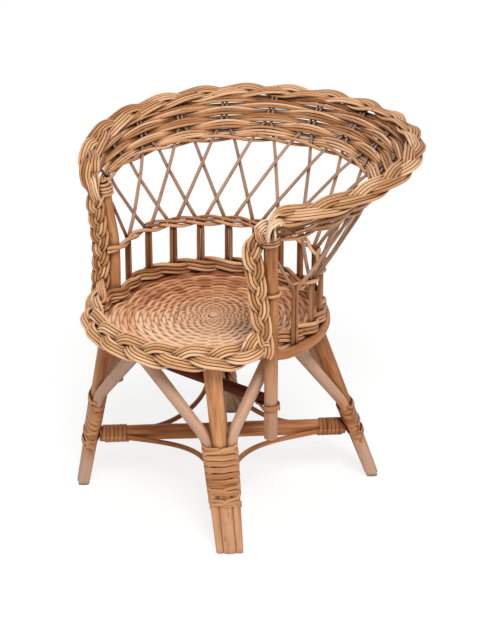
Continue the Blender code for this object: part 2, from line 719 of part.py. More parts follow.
def make_crossbar(finish, tie_finish):
    """The bar under the seat behind both posts, and the strip that lashes each end to a post
    on the slant, a little over once round."""
    height = SEAT_HEIGHT - CROSSBAR_DROP
    behind = POST + CROSSBAR + GAP
    ends = []
    for side, hand in ((1, "left"), (-1, "right")):
        post = post_at(height, side)
        bar = post + Vector((0, behind, 0))
        ends.append(bar + Vector((side * CROSSBAR_OVERHANG, 0, 0)))
        slant = (Vector((side, 0, 0)) + UP).normalized()
        axis = (Vector((side, 0, 0)) - UP).normalized()
        clear = GAP + TIE_THICKNESS / 2
        advance = TIE_WIDTH + 2 * GAP
        drift = advance * TIE_DRIFT
        wide = max(POST, CROSSBAR) * math.sqrt(2) + clear + drift
        front, back = -(POST + clear), behind + CROSSBAR + clear
        cut_front, cut_back = POST / 2, CROSSBAR / 2
        corners = [
            (-wide, front + cut_front),
            (-wide / 2, front),
            (wide / 2, front),
            (wide, front + cut_front),
            (wide, back - cut_back),
            (wide / 2, back),
            (-wide / 2, back),
            (-wide, back - cut_back),
        ]
        loops = len(corners)
        count = loops + loops // 2
        places, faces = [], []
        for i in range(count):
            u, v = corners[(i + 4) % loops]
            shift = advance * (i / (loops - 1) - count / loops / 2)
            places.append(post + slant * u + Vector((0, v, 0)) + axis * shift)
            faces.append(slant * u + Vector((0, v - behind / 2, 0)))
        widths = [TIE_WIDTH] * count
        wound_strip(f"tie_{hand}", places, faces, widths, TIE_THICKNESS, tie_finish, loops)
    stick("under_seat_crossbar", ends, [CROSSBAR, CROSSBAR], finish, 10)


def make_base(stick_finish, strip_finish):
    """The four bound legs with their braces, the crossed stretchers and the fillet rods."""
    legs = {corner: Leg(corner) for corner in CORNERS}
    for i, corner in enumerate(CORNERS):
        legs[corner].face_from(legs[CORNERS[(i + 2) % 4]])
    apexes = {
        "front": Vector((0, FRONT_APEX_Y, UNDER_SEAT)),
        "left": Vector((SIDE_APEX_X, SIDE_APEX_Y, UNDER_SEAT)),
        "rear": Vector((0, BACK_APEX_Y, UNDER_SEAT)),
        "right": Vector((-SIDE_APEX_X, SIDE_APEX_Y, UNDER_SEAT)),
    }
    for i, corner in enumerate(CORNERS):
        leg, neighbour = legs[corner], legs[CORNERS[(i + 1) % 4]]
        shared = set(corner.split("_")) & set(neighbour.corner.split("_"))
        apex = apexes[shared.pop()]
        make_leg(leg, stick_finish)
        make_brace(leg, neighbour, apex, stick_finish)
        make_brace(neighbour, leg, apex, stick_finish)
        make_binding(leg, strip_finish)
        make_fillet(leg, neighbour, stick_finish)
    make_stretcher(legs["front_left"], legs["rear_right"], stick_finish)
    make_stretcher(legs["front_right"], legs["rear_left"], stick_finish)


def make_chair():
    clear_scene()
    chair = bpy.data.objects.new("chair", None)
    bpy.context.scene.collection.objects.link(chair)
    lean = (rim_level(0) - band_level(0)).normalized()
    rim_back = math.hypot(RIM_THICKNESS / 2 * lean.y, RIM_WIDTH / 2 * lean.z)
    back = rim_level(0).y + rim_back
    front = front_place(0).y - front_reach()
    chair.location = (0, -(back + front) / 2, 0)
    peeled = willow("peeled willow stick", (0.52, 0.31, 0.18), 0.5)
    rod = willow("brown willow rod", (0.36, 0.2, 0.1), 0.45)
    weave = willow("woven willow", (0.55, 0.31, 0.16), 0.45)
    plait = willow("plaited willow", (0.58, 0.34, 0.14), 0.4)
    strip = willow("split willow strip", (0.56, 0.29, 0.13), 0.45)
    make_base(peeled, strip)
    make_posts(peeled)
    make_crossbar(peeled, strip)
    make_seat(weave, peeled)
    make_wall(rod, weave)
    make_band(weave)
    make_rim(plait)
    make_front_plait(plait)


make_chair()
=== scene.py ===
# %% [markdown]
# # A child's willow chair
# The chair is basket work. Peeled sticks make the base and the posts, and everything above them is
# thin willow rods, woven, twined or plaited. So nearly every piece here is a rod that follows a
# path, and the lesson is mostly about drawing good paths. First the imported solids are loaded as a
# fixed frame.

# %% Load the frame
import math

import bpy
import numpy as np
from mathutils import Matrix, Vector


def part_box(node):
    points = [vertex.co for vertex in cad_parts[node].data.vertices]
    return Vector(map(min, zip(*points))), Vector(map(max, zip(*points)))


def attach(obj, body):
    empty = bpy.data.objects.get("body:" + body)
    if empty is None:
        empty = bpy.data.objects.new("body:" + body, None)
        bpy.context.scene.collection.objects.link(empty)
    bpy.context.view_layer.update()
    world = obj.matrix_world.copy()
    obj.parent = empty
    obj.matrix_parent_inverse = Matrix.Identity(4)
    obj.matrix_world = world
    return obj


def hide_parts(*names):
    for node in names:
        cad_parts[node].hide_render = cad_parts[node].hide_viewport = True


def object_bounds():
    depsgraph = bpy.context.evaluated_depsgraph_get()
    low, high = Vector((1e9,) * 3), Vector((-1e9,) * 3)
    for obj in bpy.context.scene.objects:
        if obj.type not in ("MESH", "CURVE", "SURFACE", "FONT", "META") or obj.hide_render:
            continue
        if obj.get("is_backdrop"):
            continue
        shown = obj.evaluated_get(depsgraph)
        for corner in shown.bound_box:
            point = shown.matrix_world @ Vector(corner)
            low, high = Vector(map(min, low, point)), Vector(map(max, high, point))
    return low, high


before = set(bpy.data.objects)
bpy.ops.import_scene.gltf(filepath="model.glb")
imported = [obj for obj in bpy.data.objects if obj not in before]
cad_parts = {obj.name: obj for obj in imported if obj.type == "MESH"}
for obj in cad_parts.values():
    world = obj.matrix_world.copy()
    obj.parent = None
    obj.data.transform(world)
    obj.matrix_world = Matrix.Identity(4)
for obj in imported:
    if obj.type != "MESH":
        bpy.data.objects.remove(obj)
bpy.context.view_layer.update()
NODES = sorted(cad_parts)

# %% [markdown]
# ## Sizes
# The wall of the chair stands on the seat's circle and flares out above the lattice, so most paths
# are worked out from a few levels: the seat, the mid waling, the band's lower edge and the rim.
# Sizes are in metres. They are measured from the seat's centre, which lies a little ahead of the
# frame's origin.

# %% Sizes of the seat, the wall and the posts
SEAT_TOP, SEAT_LOW = 0.2445, 0.2325
WALL_RADIUS = 0.1345
SEAT_WALL_EDGE = 0.1247  # the woven seat's radius at the back
SEAT_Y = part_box("woven_seat")[1].y - SEAT_WALL_EDGE
POST_TURN = math.radians(109.4)
POST_RADIUS = 0.0085
POST_OUT, POST_AHEAD = 0.06, 0.12
SPACING = 2 / 14  # from one pair of rods to the next, where the wall runs from -1 to 1
MID_HEIGHT, MID_DROP = 0.316, 0.005
BAND_HEIGHT, BAND_RADIUS, BAND_RISE = 0.390, 0.165, 0.012
RIM_HEIGHT, RIM_RADIUS, RIM_RISE = 0.426, 0.2015, 0.025
RIM_OUT, RIM_AHEAD = 0.007, 0.0175


def vec(*parts):
    return np.array(parts, float)


UP = vec(0, 0, 1)


def unit(vectors):
    return vectors / np.linalg.norm(vectors, axis=-1, keepdims=True)


def ease(x):
    """A smooth step from 0 to 1."""
    x = np.clip(x, 0, 1)
    return x * x * (3 - 2 * x)


def post(height, side=1):
    """The middle of an arm post: upright to the mid waling, then leaning out and ahead."""
    above = max(height - MID_HEIGHT, 0)
    x = WALL_RADIUS * math.sin(POST_TURN) + POST_OUT * above
    return vec(side * x, WALL_RADIUS * math.cos(POST_TURN) - POST_AHEAD * above, height)


def circle(height, drop):
    """A level on the seat's circle, lower at the back by drop. Its shares run from -1 at the right
    post over 0 at the back to 1 at the left post."""
    end = WALL_RADIUS * math.cos(POST_TURN)

    def place(share):
        turn = np.asarray(share) * POST_TURN
        y = WALL_RADIUS * np.cos(turn)
        low = drop * (y - end) / (WALL_RADIUS - end)
        return np.stack([WALL_RADIUS * np.sin(turn), y, height - low], -1)

    return place


def arc(radius, end, rise):
    """A level on a wider arc through both ends, higher at the back."""
    middle = end[1] + math.sqrt(radius**2 - end[0] ** 2)
    span = math.atan2(end[0], end[1] - middle)

    def place(share):
        turn = np.asarray(share) * span
        y = middle + radius * np.cos(turn)
        behind = (y - end[1]) / (middle + radius - end[1])
        return np.stack([radius * np.sin(turn), y, end[2] + rise * behind * (2 - behind)], -1)

    return place


RIM_END = post(BAND_HEIGHT) + vec(RIM_OUT, -RIM_AHEAD, RIM_HEIGHT - BAND_HEIGHT)
seat_level = circle(SEAT_TOP, 0)
mid_level = circle(MID_HEIGHT, MID_DROP)
band_level = arc(BAND_RADIUS, post(BAND_HEIGHT), BAND_RISE)
rim_level = arc(RIM_RADIUS, RIM_END, RIM_RISE)
print("back of the rim", rim_level(0).round(4), "end of the rim", rim_level(1).round(4))

# %% [markdown]
# ## Camera
# The photograph looks down on the chair's left front corner through a long lens. The camera stands
# where the outlines of the seat and the rim match it.

# %% Camera
AZIMUTH, ELEVATION, DISTANCE = math.radians(39.03), math.radians(24.53), 2.490
AIM_RIGHT, AIM_AHEAD, AIM_HEIGHT = 0.0463, 0.0213, 0.2409
SENSOR_MM, LENS_MM = 36, 112.5


def show(name, data):
    """Adds an object to the scene."""
    made = bpy.data.objects.new(name, data)
    bpy.context.scene.collection.objects.link(made)
    return made


camera_right = vec(math.cos(AZIMUTH), math.sin(AZIMUTH), 0)
level_back = vec(math.sin(AZIMUTH), -math.cos(AZIMUTH), 0)
camera_back = level_back * math.cos(ELEVATION) + UP * math.sin(ELEVATION)
aim = camera_right * AIM_RIGHT + vec(0, SEAT_Y - AIM_AHEAD, AIM_HEIGHT)
camera = show("camera", bpy.data.cameras.new("camera"))
camera.location = Vector(aim + camera_back * DISTANCE)
camera.rotation_euler = Vector(camera_back).to_track_quat("Z", "Y").to_euler()
camera.data.sensor_width = SENSOR_MM
camera.data.lens = LENS_MM
bpy.context.scene.camera = camera
print("camera at", [round(v, 3) for v in camera.location])

# %% [markdown]
# ## Light
# Soft studio light on a white ground. The sky gives about half of the light and one broad sun the
# rest, so that a colour renders about as it is written. The floor is white to the camera, and the
# shadow under the chair still falls on it.

# %% One function adds a node


def add(tree, kind, inputs={}, **settings):
    """Adds a node. inputs are its sockets, each a value or an output, settings its properties."""
    made = tree.nodes.new("ShaderNode" + kind)
    for key, value in settings.items():
        setattr(made, key, value)
    for key, value in inputs.items():
        if isinstance(value, bpy.types.NodeSocket):
            tree.links.new(value, made.inputs[key])
        else:
            made.inputs[key].default_value = value
    return made


# %% Sky and sun
SKY_STRENGTH, SUN_STRENGTH = 0.45, 2.2
SUN_WIDTH = math.radians(20)
WHITE = (1, 1, 1, 1)
bpy.context.scene.view_settings.view_transform = "Standard"
world = bpy.data.worlds.new("studio")
bpy.context.scene.world = world
world.use_nodes = True
sky = world.node_tree
sky.nodes.clear()
ray = add(sky, "LightPath").outputs
seen = ray["Is Camera Ray"]
for also in ("Is Glossy Ray", "Is Transmission Ray"):
    seen = add(sky, "Math", {0: seen, 1: ray[also]}, operation="MAXIMUM").outputs[0]
lit = add(sky, "Background", {"Color": WHITE, "Strength": SKY_STRENGTH}).outputs[0]
white = add(sky, "Background", {"Color": WHITE, "Strength": 1.0}).outputs[0]
both = add(sky, "MixShader", {0: seen, 1: lit, 2: white})
add(sky, "OutputWorld", {"Surface": both.outputs[0]})

sun = show("soft_sun", bpy.data.lights.new("soft_sun", "SUN"))
sun.data.energy = SUN_STRENGTH
sun.data.angle = SUN_WIDTH
toward_sun = camera_back * 0.8 + camera_right * 0.12 + UP * 0.62
sun.rotation_euler = Vector(toward_sun).to_track_quat("Z", "Y").to_euler()
print("sky", SKY_STRENGTH, "sun", SUN_STRENGTH)

# %% Floor
FLOOR_HALF, FLOOR_DROP = 8.0, 0.0004
GLOW_SHARE, GLOW = 0.74, 1.08
floor_mesh = bpy.data.meshes.new("floor")
square = ((-1, -1), (1, -1), (1, 1), (-1, 1))
floor_mesh.from_pydata([(x * FLOOR_HALF, y * FLOOR_HALF, 0) for x, y in square], [], [(0, 1, 2, 3)])
floor = show("floor", floor_mesh)
floor.location.z = -FLOOR_DROP
floor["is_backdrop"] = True
paper = bpy.data.materials.new("white paper floor")
paper.use_nodes = True
sheet = paper.node_tree
sheet.nodes.clear()
seen = add(sheet, "LightPath").outputs["Is Camera Ray"]
share = add(sheet, "Math", {0: seen, 1: GLOW_SHARE}, operation="MULTIPLY").outputs[0]
matt = add(sheet, "BsdfDiffuse", {"Color": (0.9, 0.9, 0.9, 1)}).outputs[0]
glow = add(sheet, "Emission", {"Color": WHITE, "Strength": GLOW}).outputs[0]
both = add(sheet, "MixShader", {0: share, 1: matt, 2: glow})
add(sheet, "OutputMaterial", {"Surface": both.outputs[0]})
floor_mesh.materials.append(paper)
print("floor", FLOOR_HALF * 2, "m")

# %% [markdown]
# ## Willow
# All of the chair is willow. Boiled and peeled rods come out honey to tan, and no two are alike.
# The grain runs along each rod in fine fibres, with slow changes of tone and a few dark blemishes
# at the leaf scars. Each rod's mesh keeps three values: where a point would lie if the rod were
# straight ("grain"), the rod's own tone, and how worn and grey it is. The finishes are built on
# those three, and each also darkens its colour where other rods lie close: that is painted shade.


# %% The willow finish


def hex_colour(text):
    """A linear colour from an sRGB hex value."""
    parts = [int(text[i : i + 2], 16) / 255 for i in (1, 3, 5)]
    return [v / 12.92 if v <= 0.04045 else ((v + 0.055) / 1.055) ** 2.4 for v in parts] + [1.0]


FIBRE_MM = (45, 0.9)  # length and width of a streak of fibres, drawn about twice as coarse as real
PATCH_MM = (70, 7)  # length and width of a slow change of tone
SCAR_MM = (14, 3.4)  # length and width of a leaf scar
SCAR_FROM, SCAR_TO, SCAR_SHARE = 0.66, 0.76, 0.6  # the noise that shows as a scar, and how dark
CREVICE_MM = 8  # how near another rod must lie for the painted shade in a crevice
SHUT, OPEN = 0.35, 0.95  # how open a place is where that painted shade is full, and where it is gone
# The dark brown that is painted into the crevices as shade.
PAINTED_CREVICE_SHADE = "#3f1904"
FIBRE_SHARE = 0.9  # how far the fibres change the tone
FIBRE_RIDGE = 0.0003


def willow(name, dark, middle, pale, roughness, worn="#bda08d", patchy=0.7, crevice_shade=0.95):
    """Peeled willow with a satin surface. dark, middle and pale are the tones of its rods."""
    material = bpy.data.materials.new(name)
    material.use_nodes = True
    tree = material.node_tree
    shader = tree.nodes["Principled BSDF"]
    shader.inputs["IOR"].default_value = 1.5
    shader.inputs["Specular IOR Level"].default_value = 0.25  # bare fibres break up the gloss
    lie = add(tree, "Attribute", attribute_name="grain").outputs["Vector"]
    tone = add(tree, "Attribute", attribute_name="tone").outputs["Fac"]
    wear = add(tree, "Attribute", attribute_name="wear").outputs["Fac"]
    noises = []
    for (length, width), detail in ((FIBRE_MM, 3), (PATCH_MM, 2), (SCAR_MM, 1)):
        scale = (1000 / length, 1000 / width, 1000 / width)
        laid = add(tree, "Mapping", {"Vector": lie, "Scale": scale}).outputs[0]
        noise = add(tree, "TexNoise", {"Vector": laid, "Scale": 1.0, "Detail": detail})
        noises.append(noise.outputs[0])
    fibre, patch, scar = noises
    value = tone
    for noise, share in ((fibre, FIBRE_SHARE), (patch, patchy)):
        inputs = {0: noise, 1: share, 2: value}
        value = add(tree, "Math", inputs, operation="MULTIPLY_ADD").outputs[0]
    centred = -(FIBRE_SHARE + patchy) / 2
    value = add(tree, "Math", {0: value, 1: centred}, operation="ADD").outputs[0]
    ramp = add(tree, "ValToRGB", {"Fac": value})
    stops = ramp.color_ramp.elements
    stops[0].color = hex_colour(dark)
    stops[1].color = hex_colour(pale)
    stops.new(0.5).color = hex_colour(middle)
    marked = add(tree, "MapRange", {0: scar, 1: SCAR_FROM, 2: SCAR_TO, 3: 0.0, 4: SCAR_SHARE})
    # Painted shade: an ambient occlusion node darkens the colour where other rods lie close.
    near = add(tree, "AmbientOcclusion", {"Distance": CREVICE_MM / 1000}, samples=8).outputs["AO"]
    crevice_shade_node = add(tree, "MapRange", {0: near, 1: SHUT, 2: OPEN, 3: crevice_shade, 4: 0.0})
    colour = ramp.outputs[0]
    for share, over in ((wear, worn), (marked.outputs[0], dark), (crevice_shade_node.outputs[0], PAINTED_CREVICE_SHADE)):
        inputs = {0: share, 6: colour, 7: hex_colour(over)}
        colour = add(tree, "Mix", inputs, data_type="RGBA").outputs[2]
    tree.links.new(colour, shader.inputs["Base Color"])
    inputs = {0: fibre, 1: 0.3, 2: 0.7, 3: roughness - 0.08, 4: roughness + 0.1}
    tree.links.new(add(tree, "MapRange", inputs).outputs[0], shader.inputs["Roughness"])
    bump = add(tree, "Bump", {"Strength": 0.3, "Distance": FIBRE_RIDGE, "Height": fibre})
    tree.links.new(bump.outputs[0], shader.inputs["Normal"])
    print("finish:", name)
    return material


PLAIT = willow("plaited boiled willow", "#8a5020", "#e3ab79", "#ffdcb8", 0.42)
BAND = willow("woven boiled willow", "#7e4519", "#cf9566", "#fbcda4", 0.44)
SEAT = willow("woven seat willow", "#8c4a22", "#e8a77b", "#ffd3ad", 0.5, worn="#c8a080", crevice_shade=0.75)
ROD = willow("brown willow rods", "#5f3113", "#96623b", "#c9986d", 0.45)
STICK = willow("peeled willow sticks", "#85461a", "#c88b5a", "#e9bb92", 0.46, patchy=1.0, crevice_shade=0.6)
# The bar's finish is a stained stick, painted darker still for the shade under the seat.
SHADED_STAIN = willow("stained willow stick, painted shade", "#2e0c02", "#5e220a", "#86441a", 0.65)
STRIP = willow("shaved willow strip", "#7d431b", "#bc8053", "#dfab80", 0.42)

# %% [markdown]
# ## Rods as meshes
# A rod could be a curve with a round bevel, but then it could not carry its own grain. So each rod
# is a row of rings along its path, and many rods go into one mesh. The same helper makes flat
# strips and half-round hoops: only the section differs. Both ends get a small chamfer, as a knife
# leaves them.


# %% Sections and paths


def round_section(sides):
    turn = 2 * math.pi * np.arange(sides) / sides
    return np.stack([np.cos(turn), np.sin(turn)], 1)


def squared_section(corner, sides=12):
    """A flat section with rounded edges. corner is how square it is: 2 is an ellipse."""
    ring = round_section(sides)
    return np.sign(ring) * np.abs(ring) ** (2 / corner)


ROUND = round_section(8)
FINE = round_section(14)
FLAT = squared_section(4)


def smooth(points, step=0.004):
    """A flowing path through the given points, with a point about every step metres."""
    given = np.asarray(points, float)
    ends = np.vstack([2 * given[0] - given[1], given, 2 * given[-1] - given[-2]])
    path = []
    for a, b, c, d in zip(ends, ends[1:], ends[2:], ends[3:]):
        count = max(int(np.linalg.norm(c - b) / step), 1)
        t = np.arange(count)[:, None] / count
        bend = (2 * b) + (c - a) * t + (2 * a - 5 * b + 4 * c - d) * t**2
        path.append((bend + (3 * b - a - 3 * c + d) * t**3) / 2)
    return np.vstack(path + [given[-1:]])


def carried(ways):
    """A sideways direction that is carried along a path without twisting."""
    side = np.cross(ways[0], UP if abs(ways[0][2]) < 0.9 else vec(1.0, 0, 0))
    sides = []
    for way in ways:
        side = side - way * side.dot(way)
        side = side / np.linalg.norm(side)
        sides.append(side)
    return np.array(sides)


# %% The rod maker
CHAMFER = 0.0008
CAP = 0.86  # the share of a rod's end that stays flat inside its chamfer
UNCUT = (None, None)
SHARP_ANGLE = math.radians(42)


class Work:
    """Rods and strips that become one mesh."""

    def __init__(self, seed):
        self.random = np.random.default_rng(seed)
        self.points, self.quads, self.fans = [], [], []
        self.kept = {"grain": [], "tone": [], "wear": []}
        self.count = 0

    def lay(
        self, path, width, depth=None, facing=None, tone=0.5, wear=0.0, section=ROUND, level=UNCUT
    ):
        """Adds one rod of the given width and depth along a path, its depth in the way that facing
        points. level gives the heights at which its ends are sawn off flat."""
        path = np.asarray(path, float)
        count, sides = len(path), section.shape[-2]
        ways = unit(np.gradient(path, axis=0))
        if facing is None:
            face = carried(ways)
        else:
            face = np.broadcast_to(np.asarray(facing, float), path.shape)
            face = unit(face - ways * np.sum(face * ways, 1, keepdims=True))
        across = np.cross(ways, face)
        sizes = (width, width if depth is None else depth)
        half_w, half_d = (np.broadcast_to(np.asarray(v, float), (count,)) / 2 for v in sizes)
        u = section[..., 0] * half_w[:, None]
        v = section[..., 1] * half_d[:, None]
        rings = path[:, None] + across[:, None] * u[..., None] + face[:, None] * v[..., None]
        for end, height in zip((0, -1), level):
            if height is not None:
                slide = (height - rings[end][:, 2]) / ways[end][2]
                rings[end] = rings[end] + ways[end] * slide[:, None]
        caps = []
        chamfer = min(CHAMFER, float(half_d.min()) * 0.4)
        for end, inward in ((0, 1), (-1, -1)):
            middle = rings[end].mean(0)
            caps.append(middle + (rings[end] - middle) * CAP)
            rings[end] = rings[end] + ways[end] * (chamfer * inward)
        rings = np.concatenate([caps[0][None], rings, caps[1][None]])
        ends = np.array([rings[0].mean(0), rings[-1].mean(0)])
        self.points += [rings.reshape(-1, 3), ends]

        length = np.concatenate([[0], np.cumsum(np.linalg.norm(np.diff(path, axis=0), axis=1))])
        length = np.concatenate([[0], length, length[-1:]]) + self.random.uniform(0, 50)
        u, v = (np.concatenate([w[:1] * CAP, w, w[-1:] * CAP]) for w in (u, v))
        straight = np.stack([np.broadcast_to(length[:, None], u.shape), u, v], -1)
        self.kept["grain"] += [straight.reshape(-1, 3), straight[[0, -1]].mean(1)]
        for key, given in (("tone", tone), ("wear", wear)):
            given = np.broadcast_to(np.asarray(given, float), (count,))
            given = np.concatenate([given[:1], given, given[-1:]])
            self.kept[key] += [np.repeat(given, sides), given[[0, -1]]]

        rows, turn = len(rings), np.arange(sides)
        ahead = (turn + 1) % sides
        first = self.count + np.arange(rows - 1)[:, None] * sides
        low, beside = first + turn, first + ahead
        self.quads.append(np.stack([low, low + sides, beside + sides, beside], -1).reshape(-1, 4))
        last, hub = self.count + (rows - 1) * sides, self.count + rows * sides
        self.fans.append(np.stack([np.full(sides, hub), self.count + turn, self.count + ahead], 1))
        self.fans.append(np.stack([np.full(sides, hub + 1), last + ahead, last + turn], 1))
        self.count += rows * sides + 2

    def make(self, name, finish, slot, *nodes):
        """Turns the rods into one piece, which stands for the given CAD nodes."""
        points = np.vstack(self.points)
        points[:, 1] += SEAT_Y
        faces = np.vstack(self.quads).tolist() + np.vstack(self.fans).tolist()
        mesh = bpy.data.meshes.new(name)
        mesh.from_pydata(points.tolist(), [], faces)
        for key, values in self.kept.items():
            kind, field = ("FLOAT_VECTOR", "vector") if key == "grain" else ("FLOAT", "value")
            made = mesh.attributes.new(key, kind, "POINT")
            made.data.foreach_set(field, np.concatenate(values).ravel())
        mesh.shade_smooth()
        mesh.set_sharp_from_angle(angle=SHARP_ANGLE)
        mesh.materials.append(finish)
        piece = show(name, mesh)
        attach(piece, "root")
        if nodes:
            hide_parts(*nodes)
        print(name, len(faces), "faces for", len(nodes), "nodes")


# %% [markdown]
# ## The wall's rods
# The rods stand in pairs, straight up from the seat to the mid waling. There each pair parts: one
# rod leans left and one right, on two layers, so that they cross twice before they go into the
# band. In the band two rods from different pairs meet again and stand side by side as stakes.

# %% Paths of the wall rods
LEAN = 1.5 * SPACING
LEAN_END = 1.2  # the lean goes on into the band, to where 1 + half the share of its height is this
PAIR_HALF = 0.0027
LAYER_HALF = 0.0027  # half the spacing of the lattice's two layers
POST_MEET = 0.058  # how far above the mid waling the last rods lean against the posts


def wall_point(share, low_level, high_level, t):
    """A place on the wall between two levels, with the directions along the wall and out of it."""
    low, high = low_level(share), high_level(share)
    place = low + (high - low) * t
    small = 0.001
    ahead = low_level(share + small) * (1 - t) + high_level(share + small) * t
    along = unit(ahead - place)
    return place, along, unit(np.cross(unit(high - low), along))


def rod_path(pair, lean):
    """The points of one rod of a pair, which leans to the left (1) or to the right (-1)."""
    start = pair * SPACING
    _, along, _ = wall_point(start, seat_level, mid_level, 0.5)
    aside = along * (lean * PAIR_HALF)
    foot = seat_level(start) + aside - UP * (SEAT_TOP - SEAT_LOW)
    top = mid_level(start) + aside
    points = [foot + (top - foot) * t for t in (0, 0.3, 0.6, 0.86, 1.0)]
    share = start + lean * LEAN / LEAN_END
    if abs(share) > 1:
        beside = vec(-lean * 0.004, POST_RADIUS - 0.002, 0)
        end = post(MID_HEIGHT + POST_MEET, lean) + beside
        return points + [top + (end - top) * t for t in (0.3, 0.65, 1.0)]
    _, along, _ = wall_point(share, mid_level, band_level, 1.0)
    end = band_level(share) + along * (lean * PAIR_HALF * (1 - 2 / LEAN_END))
    _, _, out = wall_point((start + share) / 2, mid_level, band_level, 0.5)
    for t in (0.08, 0.2, 0.34, 0.5, 0.66, 0.82, 1.0):
        parted = ease(t / 0.3) * ease((1.04 - t) / 0.16)
        points.append(top + (end - top) * t - out * (lean * LAYER_HALF * parted))
    for t in (0.16, 0.34, 0.55, 0.76, 0.93):
        moved = min((1 + t * 0.5) / LEAN_END, 1)
        share = start + lean * LEAN * moved
        if abs(share) > 0.985:
            break
        place, along, _ = wall_point(share, band_level, rim_level, t)
        points.append(place + along * (lean * PAIR_HALF * (1 - 2 * moved)))
    return points


# %% Wall rods
LAST_PAIR = 6
ROD_WIDTH, ROD_TAPER = 0.0055, 0.0016


def named(*starts):
    """The CAD nodes whose names start in these ways."""
    return [node for node in NODES if node.startswith(starts)]


rods = Work(3)
for pair in range(-LAST_PAIR, LAST_PAIR + 1):
    for lean in (-1, 1):
        path = smooth(rod_path(pair, lean), 0.005)
        along = np.linspace(0, 1, len(path))
        tone = rods.random.uniform(0.25, 0.75)
        wear = 0.5 * ease((path[:, 2] - MID_HEIGHT) / 0.02)
        rods.lay(path, ROD_WIDTH - ROD_TAPER * along, tone=tone, wear=wear)
rods.make("wall_rods", ROD, "willow_rod", *named("wall_rod"))

# %% [markdown]
# ## Walings
# A waling is two strands that twist round each other and pass either side of each pair of rods.
# Three rows of it stand on the seat, one runs round the wall half way up, and one starts the band.
# The rows pass inside the posts and end at the plaits ahead of them.


# %% How a waling lies
FLAT_ON = vec(1.0, 1.0, 0.0)  # leaves out a direction's height


def twine(work, level, lift, diameter, swing, ends=(-1.075, 1.075), hop=0):
    """One row of two strands along a level, lifted above it. swing is how far the strands lie off
    the row's middle, and hop puts them on the other side of each pair."""
    shares = np.linspace(*ends, 190)
    out = unit(level(shares) * FLAT_ON)
    at_post = ease((np.abs(shares) - 0.72) / 0.26)
    past = ease((np.abs(shares) - 1.02) / 0.06)
    inside = at_post * (1 - past) * (POST_RADIUS + diameter * 0.5)
    for strand in (0, 1):
        turn = math.pi * (shares / SPACING + strand + hop)
        off = swing * (1 - 0.7 * at_post) * np.cos(turn) - inside
        place = level(shares) + out * off[:, None]
        place[:, 2] += lift + diameter * 0.5 * np.sin(turn)
        work.lay(place, diameter, tone=work.random.uniform(0.2, 0.8))


def loop(work, height, side, diameter, turns, tone, close=0.0):
    """A rod wound round a post. close is the share by which its upper turns draw together."""
    t = np.linspace(0, 1, int(40 * turns))
    turn = 2 * math.pi * turns * t + math.pi / 2
    reach = (POST_RADIUS + diameter * 0.45) * (1 - close * ease((t - 0.6) / 0.4))
    middle = np.array([post(height + diameter * 1.05 * turns * (v - 0.5), side) for v in t])
    path = middle + np.stack([np.cos(turn), np.sin(turn), 0 * turn], 1) * reach[:, None]
    work.lay(path, diameter, tone=tone)


# %% Walings
SEAT_ROW, MID_ROW, THIN_ROW = 0.0052, 0.0050, 0.0040  # thickness of the strands
seat_rows = Work(5)
for row in range(3):
    lift = 0.003 + SEAT_ROW * row
    twine(seat_rows, seat_level, lift, SEAT_ROW, 0.0048, ends=(-1.17, 1.06), hop=row)
seat_rows.make("seat_waling_rods", BAND, "woven_willow", "seat_waling")

mid_rows = Work(7)
twine(mid_rows, mid_level, 0, MID_ROW, 0.0045)
twine(mid_rows, mid_level, 0.0058, THIN_ROW, 0.0042, ends=(-0.72, -0.1), hop=1)
loop(mid_rows, MID_HEIGHT + 0.004, 1, THIN_ROW, 1.2, 0.55)
mid_rows.make("mid_waling_rods", BAND, "woven_willow", "mid_waling")

# %% [markdown]
# ## The band
# Above the lattice the rods go into a close-woven band. Each row is three thin weavers side by
# side. A row passes in front of one pair of stakes and behind the next, and the row above does the
# opposite. The band is deep at the back and narrow at the arms, where some rows stop short. A rod
# wound round each post closes it.

# %% Band
WEAVERS = 3
WEAVER_WIDTH = 0.0044
BAND_FROM, BAND_TO = 0.09, 0.90  # shares of the wall's slope that the rows fill
FULL = 0.975  # the share of the arc that a whole row covers
ROW_REACHES = (FULL, 0.93, FULL, 0.95, FULL, 0.96)
band = Work(11)
shares = np.linspace(-FULL, FULL, 230)
low, high = band_level(shares), rim_level(shares)
up = unit(high - low)
along = unit(np.gradient(low, axis=0))
out = unit(np.cross(up, along))
for strand in (0, 1):
    turn = math.pi * (shares / SPACING + 0.5 + strand)
    off, rise = 0.0042 * np.cos(turn), 0.0024 * np.sin(turn)
    path = low + up * 0.003 + out * off[:, None] + up * rise[:, None]
    band.lay(path, WEAVER_WIDTH, tone=band.random.uniform(0.4, 0.7))
height = np.linalg.norm(high - low, axis=1)
pitch = (BAND_TO - BAND_FROM) * height / (len(ROW_REACHES) * WEAVERS)
thick = np.minimum(WEAVER_WIDTH, pitch * 1.36)
for row, reach in enumerate(ROW_REACHES):
    kept = np.abs(shares) <= reach
    turn = math.pi * (shares / SPACING + 0.5 + row)
    middle = BAND_FROM * height + pitch * WEAVERS * (row + 0.5)
    off = 0.0036 * np.cos(turn)
    for weaver in range(WEAVERS):
        spread = (weaver - (WEAVERS - 1) / 2) * pitch * (0.94 + 0.34 * np.abs(np.cos(turn)))
        sway = band.random.normal(0, 0.0003) + 0.0004 * np.sin(turn * 0.37 + weaver)
        place = low + up * (middle + spread + sway)[:, None] + out * off[:, None]
        band.lay(place[kept], thick[kept], tone=band.random.uniform(0.2, 0.85))
for side in (-1, 1):
    loop(band, BAND_HEIGHT + 0.006, side, THIN_ROW, 5, 0.6, close=0.6)
band.make("woven_band", BAND, "woven_willow", "top_band")

# %% [markdown]
# ## Plaits
# The rim and the seat's front edge are three-strand plaits, and each strand is a ribbon of rods. A
# strand swings from side to side once per pitch and rises and dips twice in that time, which is
# what makes it pass over one neighbour and under the other.


# %% The plait maker
EDGE = 0.1  # how long a strand runs along the plait's edge before it turns back
CROWN = 0.35  # how far a ribbon's outer rods lie below its middle, in rods


